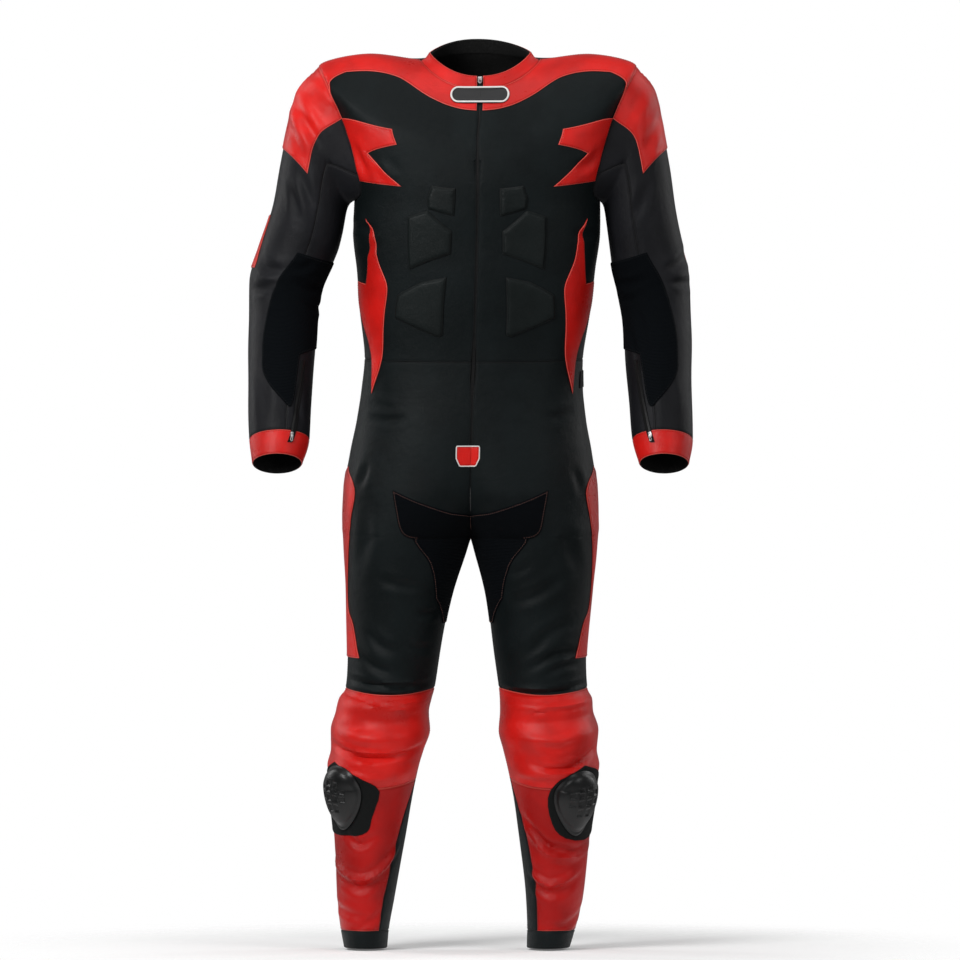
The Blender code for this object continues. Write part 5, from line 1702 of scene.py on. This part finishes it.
def make_slider(name, middle, axes, length, width, thick):
    """A wedge body, two plates and the bridge that the pull hangs from."""
    shapes = [(*pillow((length, width, thick * 0.34), 0.4), (0, 0, thick * 0.14)),
              (*pillow((length, width, thick * 0.24), 0.4), (0, 0, -thick * 0.36)),
              (*pillow((length * 0.3, width * 0.42, thick * 0.6), 0.5), (-length * 0.25, 0, -thick * 0.1)),
              (*pillow((length * 0.62, width * 0.26, thick * 0.34), 0.6), (-length * 0.08, 0, thick * 0.33))]
    return placed(name, shapes, middle, axes)


SMALL_SLIDER = (9 * MM, 5.4 * MM, 2.6 * MM)  # a sleeve slider's length, width and thickness
middle, axes, (length, width, thick) = axes_of("zip_slider")
on_suit(make_slider("zip_slider_metal", middle, axes, length, width, thick), "zip_metal", "zip_slider")
for node, body_name in (("zip_pull", "zip_pull_body"),
                        ("sleeve_zip_pull_left", "sleeve_zip_pull_left_body"),
                        ("sleeve_zip_pull_right", "sleeve_zip_pull_right_body")):
    middle, axes, (length, width, thick) = axes_of(node)
    tab = holed_plate(length, width, thick, (length * 0.42, width * 0.46, length * 0.16))
    thing = placed(f"{node}_metal", [(*tab, (0, 0, 0))], middle, axes)
    on_suit(thing, "zip_metal", node, body=body_name)
    if node != "zip_pull":
        seat = middle - axes[0] * (length * 0.36) - axes[2] * (thick * 1.6)
        name = node.replace("pull", "slider") + "_metal"
        on_suit(make_slider(name, seat, axes, *SMALL_SLIDER), "zip_metal")
print("pull", np.round(axes_of("zip_pull")[2] / MM, 1), "mm")


# %% [markdown]
# ## Stitches
# Each seam is sewn twice: inside, and again on top, where a row of thread holds the edge down. A row
# stands a little in from every panel's edge. There are thousands of stitches, so each is a bead
# of twelve faces, placed by the same tree as the teeth, one piece for each colour of thread.

# %% Sew
STITCH_STEP, STITCH = 3.9 * MM, (2.7 * MM, 0.75 * MM, 0.5 * MM)
SEWN_ON = {"red_thread": "red_leather", "pale_thread": "stretch_cloth"}
for thread, lines in THREADS.items():
    usable = [line for line in lines if len(line[2])]
    sewn = repeat_along(f"stitches_{thread}", BEADS, usable, STITCH_STEP, STITCH, thread)
    on_suit(sewn, SEWN_ON.get(thread, "black_leather"))
    print(thread, len(sewn.data.polygons) // 12, "stitches")


# %% [markdown]
# ## Camera, light and floor
# A long, level view shows the cut of a suit without the swell of a near lens, so the camera is
# orthographic and looks a few degrees down, enough to see the floor meet the hems.

# %% Camera
LOOK_DOWN = math.radians(3.0)
VIEW_WIDTH = 1.488
VIEW_CENTRE = Vector((0.0109, 0.0, -0.6446))
camera_data = bpy.data.cameras.new("front_camera")
camera_data.type = "ORTHO"
camera_data.ortho_scale = VIEW_WIDTH
camera = bpy.data.objects.new("front_camera", camera_data)
bpy.context.scene.collection.objects.link(camera)
away = Vector((0, -math.cos(LOOK_DOWN), math.sin(LOOK_DOWN)))
camera.location = VIEW_CENTRE + away * 5
camera.rotation_euler = away.to_track_quat("Z", "Y").to_euler()
bpy.context.scene.camera = camera


# %% Lights
def area_light(name, place, size, power, aim=(0, 0, -0.6)):
    data = bpy.data.lights.new(name, "AREA")
    data.shape, data.size, data.size_y, data.energy = "RECTANGLE", *size, power
    lamp = bpy.data.objects.new(name, data)
    lamp.location = place
    lamp.rotation_euler = (Vector(place) - Vector(aim)).to_track_quat("Z", "Y").to_euler()
    bpy.context.scene.collection.objects.link(lamp)


area_light("key", (-1.7, -2.4, 0.9), (1.2, 1.8), 78, aim=(0, 0, -0.5))
area_light("fill", (2.8, -3.0, 0.6), (1.6, 2.4), 34)
area_light("over", (0, -0.4, 2.4), (2.4, 1.6), 24)
area_light("rim_left", (-2.6, 1.6, 0.4), (0.9, 2.6), 26)
area_light("rim_right", (2.6, 1.6, 0.4), (0.9, 2.6), 22)

world = bpy.data.worlds.new("pale_studio")
world.use_nodes = True
bpy.context.scene.world = world
sky = world.node_tree
seen_directly = sky.nodes.new("ShaderNodeLightPath").outputs["Is Camera Ray"]
glow = sky.nodes["Background"]
glow.inputs["Color"].default_value = grey(1.0)
strength = sky.nodes.new("ShaderNodeMapRange")
for name, value in (("To Min", 0.18), ("To Max", 1.0)):
    strength.inputs[name].default_value = value
sky.links.new(seen_directly, strength.inputs["Value"])
sky.links.new(strength.outputs[0], glow.inputs["Strength"])
bpy.context.scene.view_settings.view_transform = "Standard"

# %% Floor
FLOOR = Finish("pale_floor")
floor_radius = FLOOR.node("ShaderNodeVectorMath", {"operation": "LENGTH"}, {0: FLOOR.place()}, "Value")
FLOOR.sockets(Base_Color=grey(0.93), Roughness=0.9, Specular_IOR_Level=0.0,
              Emission_Color=grey(1.0), Emission_Strength=0.12)
FLOOR.sockets(Alpha=1 - floor_radius.rising(0.35, 0.9))
MATERIALS["pale_floor"] = FLOOR.material
FLOOR_RADIUS, CORNERS = 2.0, 64
FLOOR_DROP = 3 * MM  # the floor lies this far below the hems
around = np.linspace(0, 2 * np.pi, CORNERS + 1)[:-1]
disc = FLOOR_RADIUS * np.stack([np.cos(around), np.sin(around), 0 * around], 1)
floor = mesh_object("studio_floor", np.concatenate([disc, [[0, 0, 0.0]]]),
                    [(k, (k + 1) % CORNERS, CORNERS) for k in range(CORNERS)], ["pale_floor"])
floor.location = (0, 0, -ORIGIN_HEIGHT * MM - FLOOR_DROP)

# %% Sizes and the end
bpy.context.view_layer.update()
for name, row in CUT_SIZES.items():
    print("cut", name, *row)
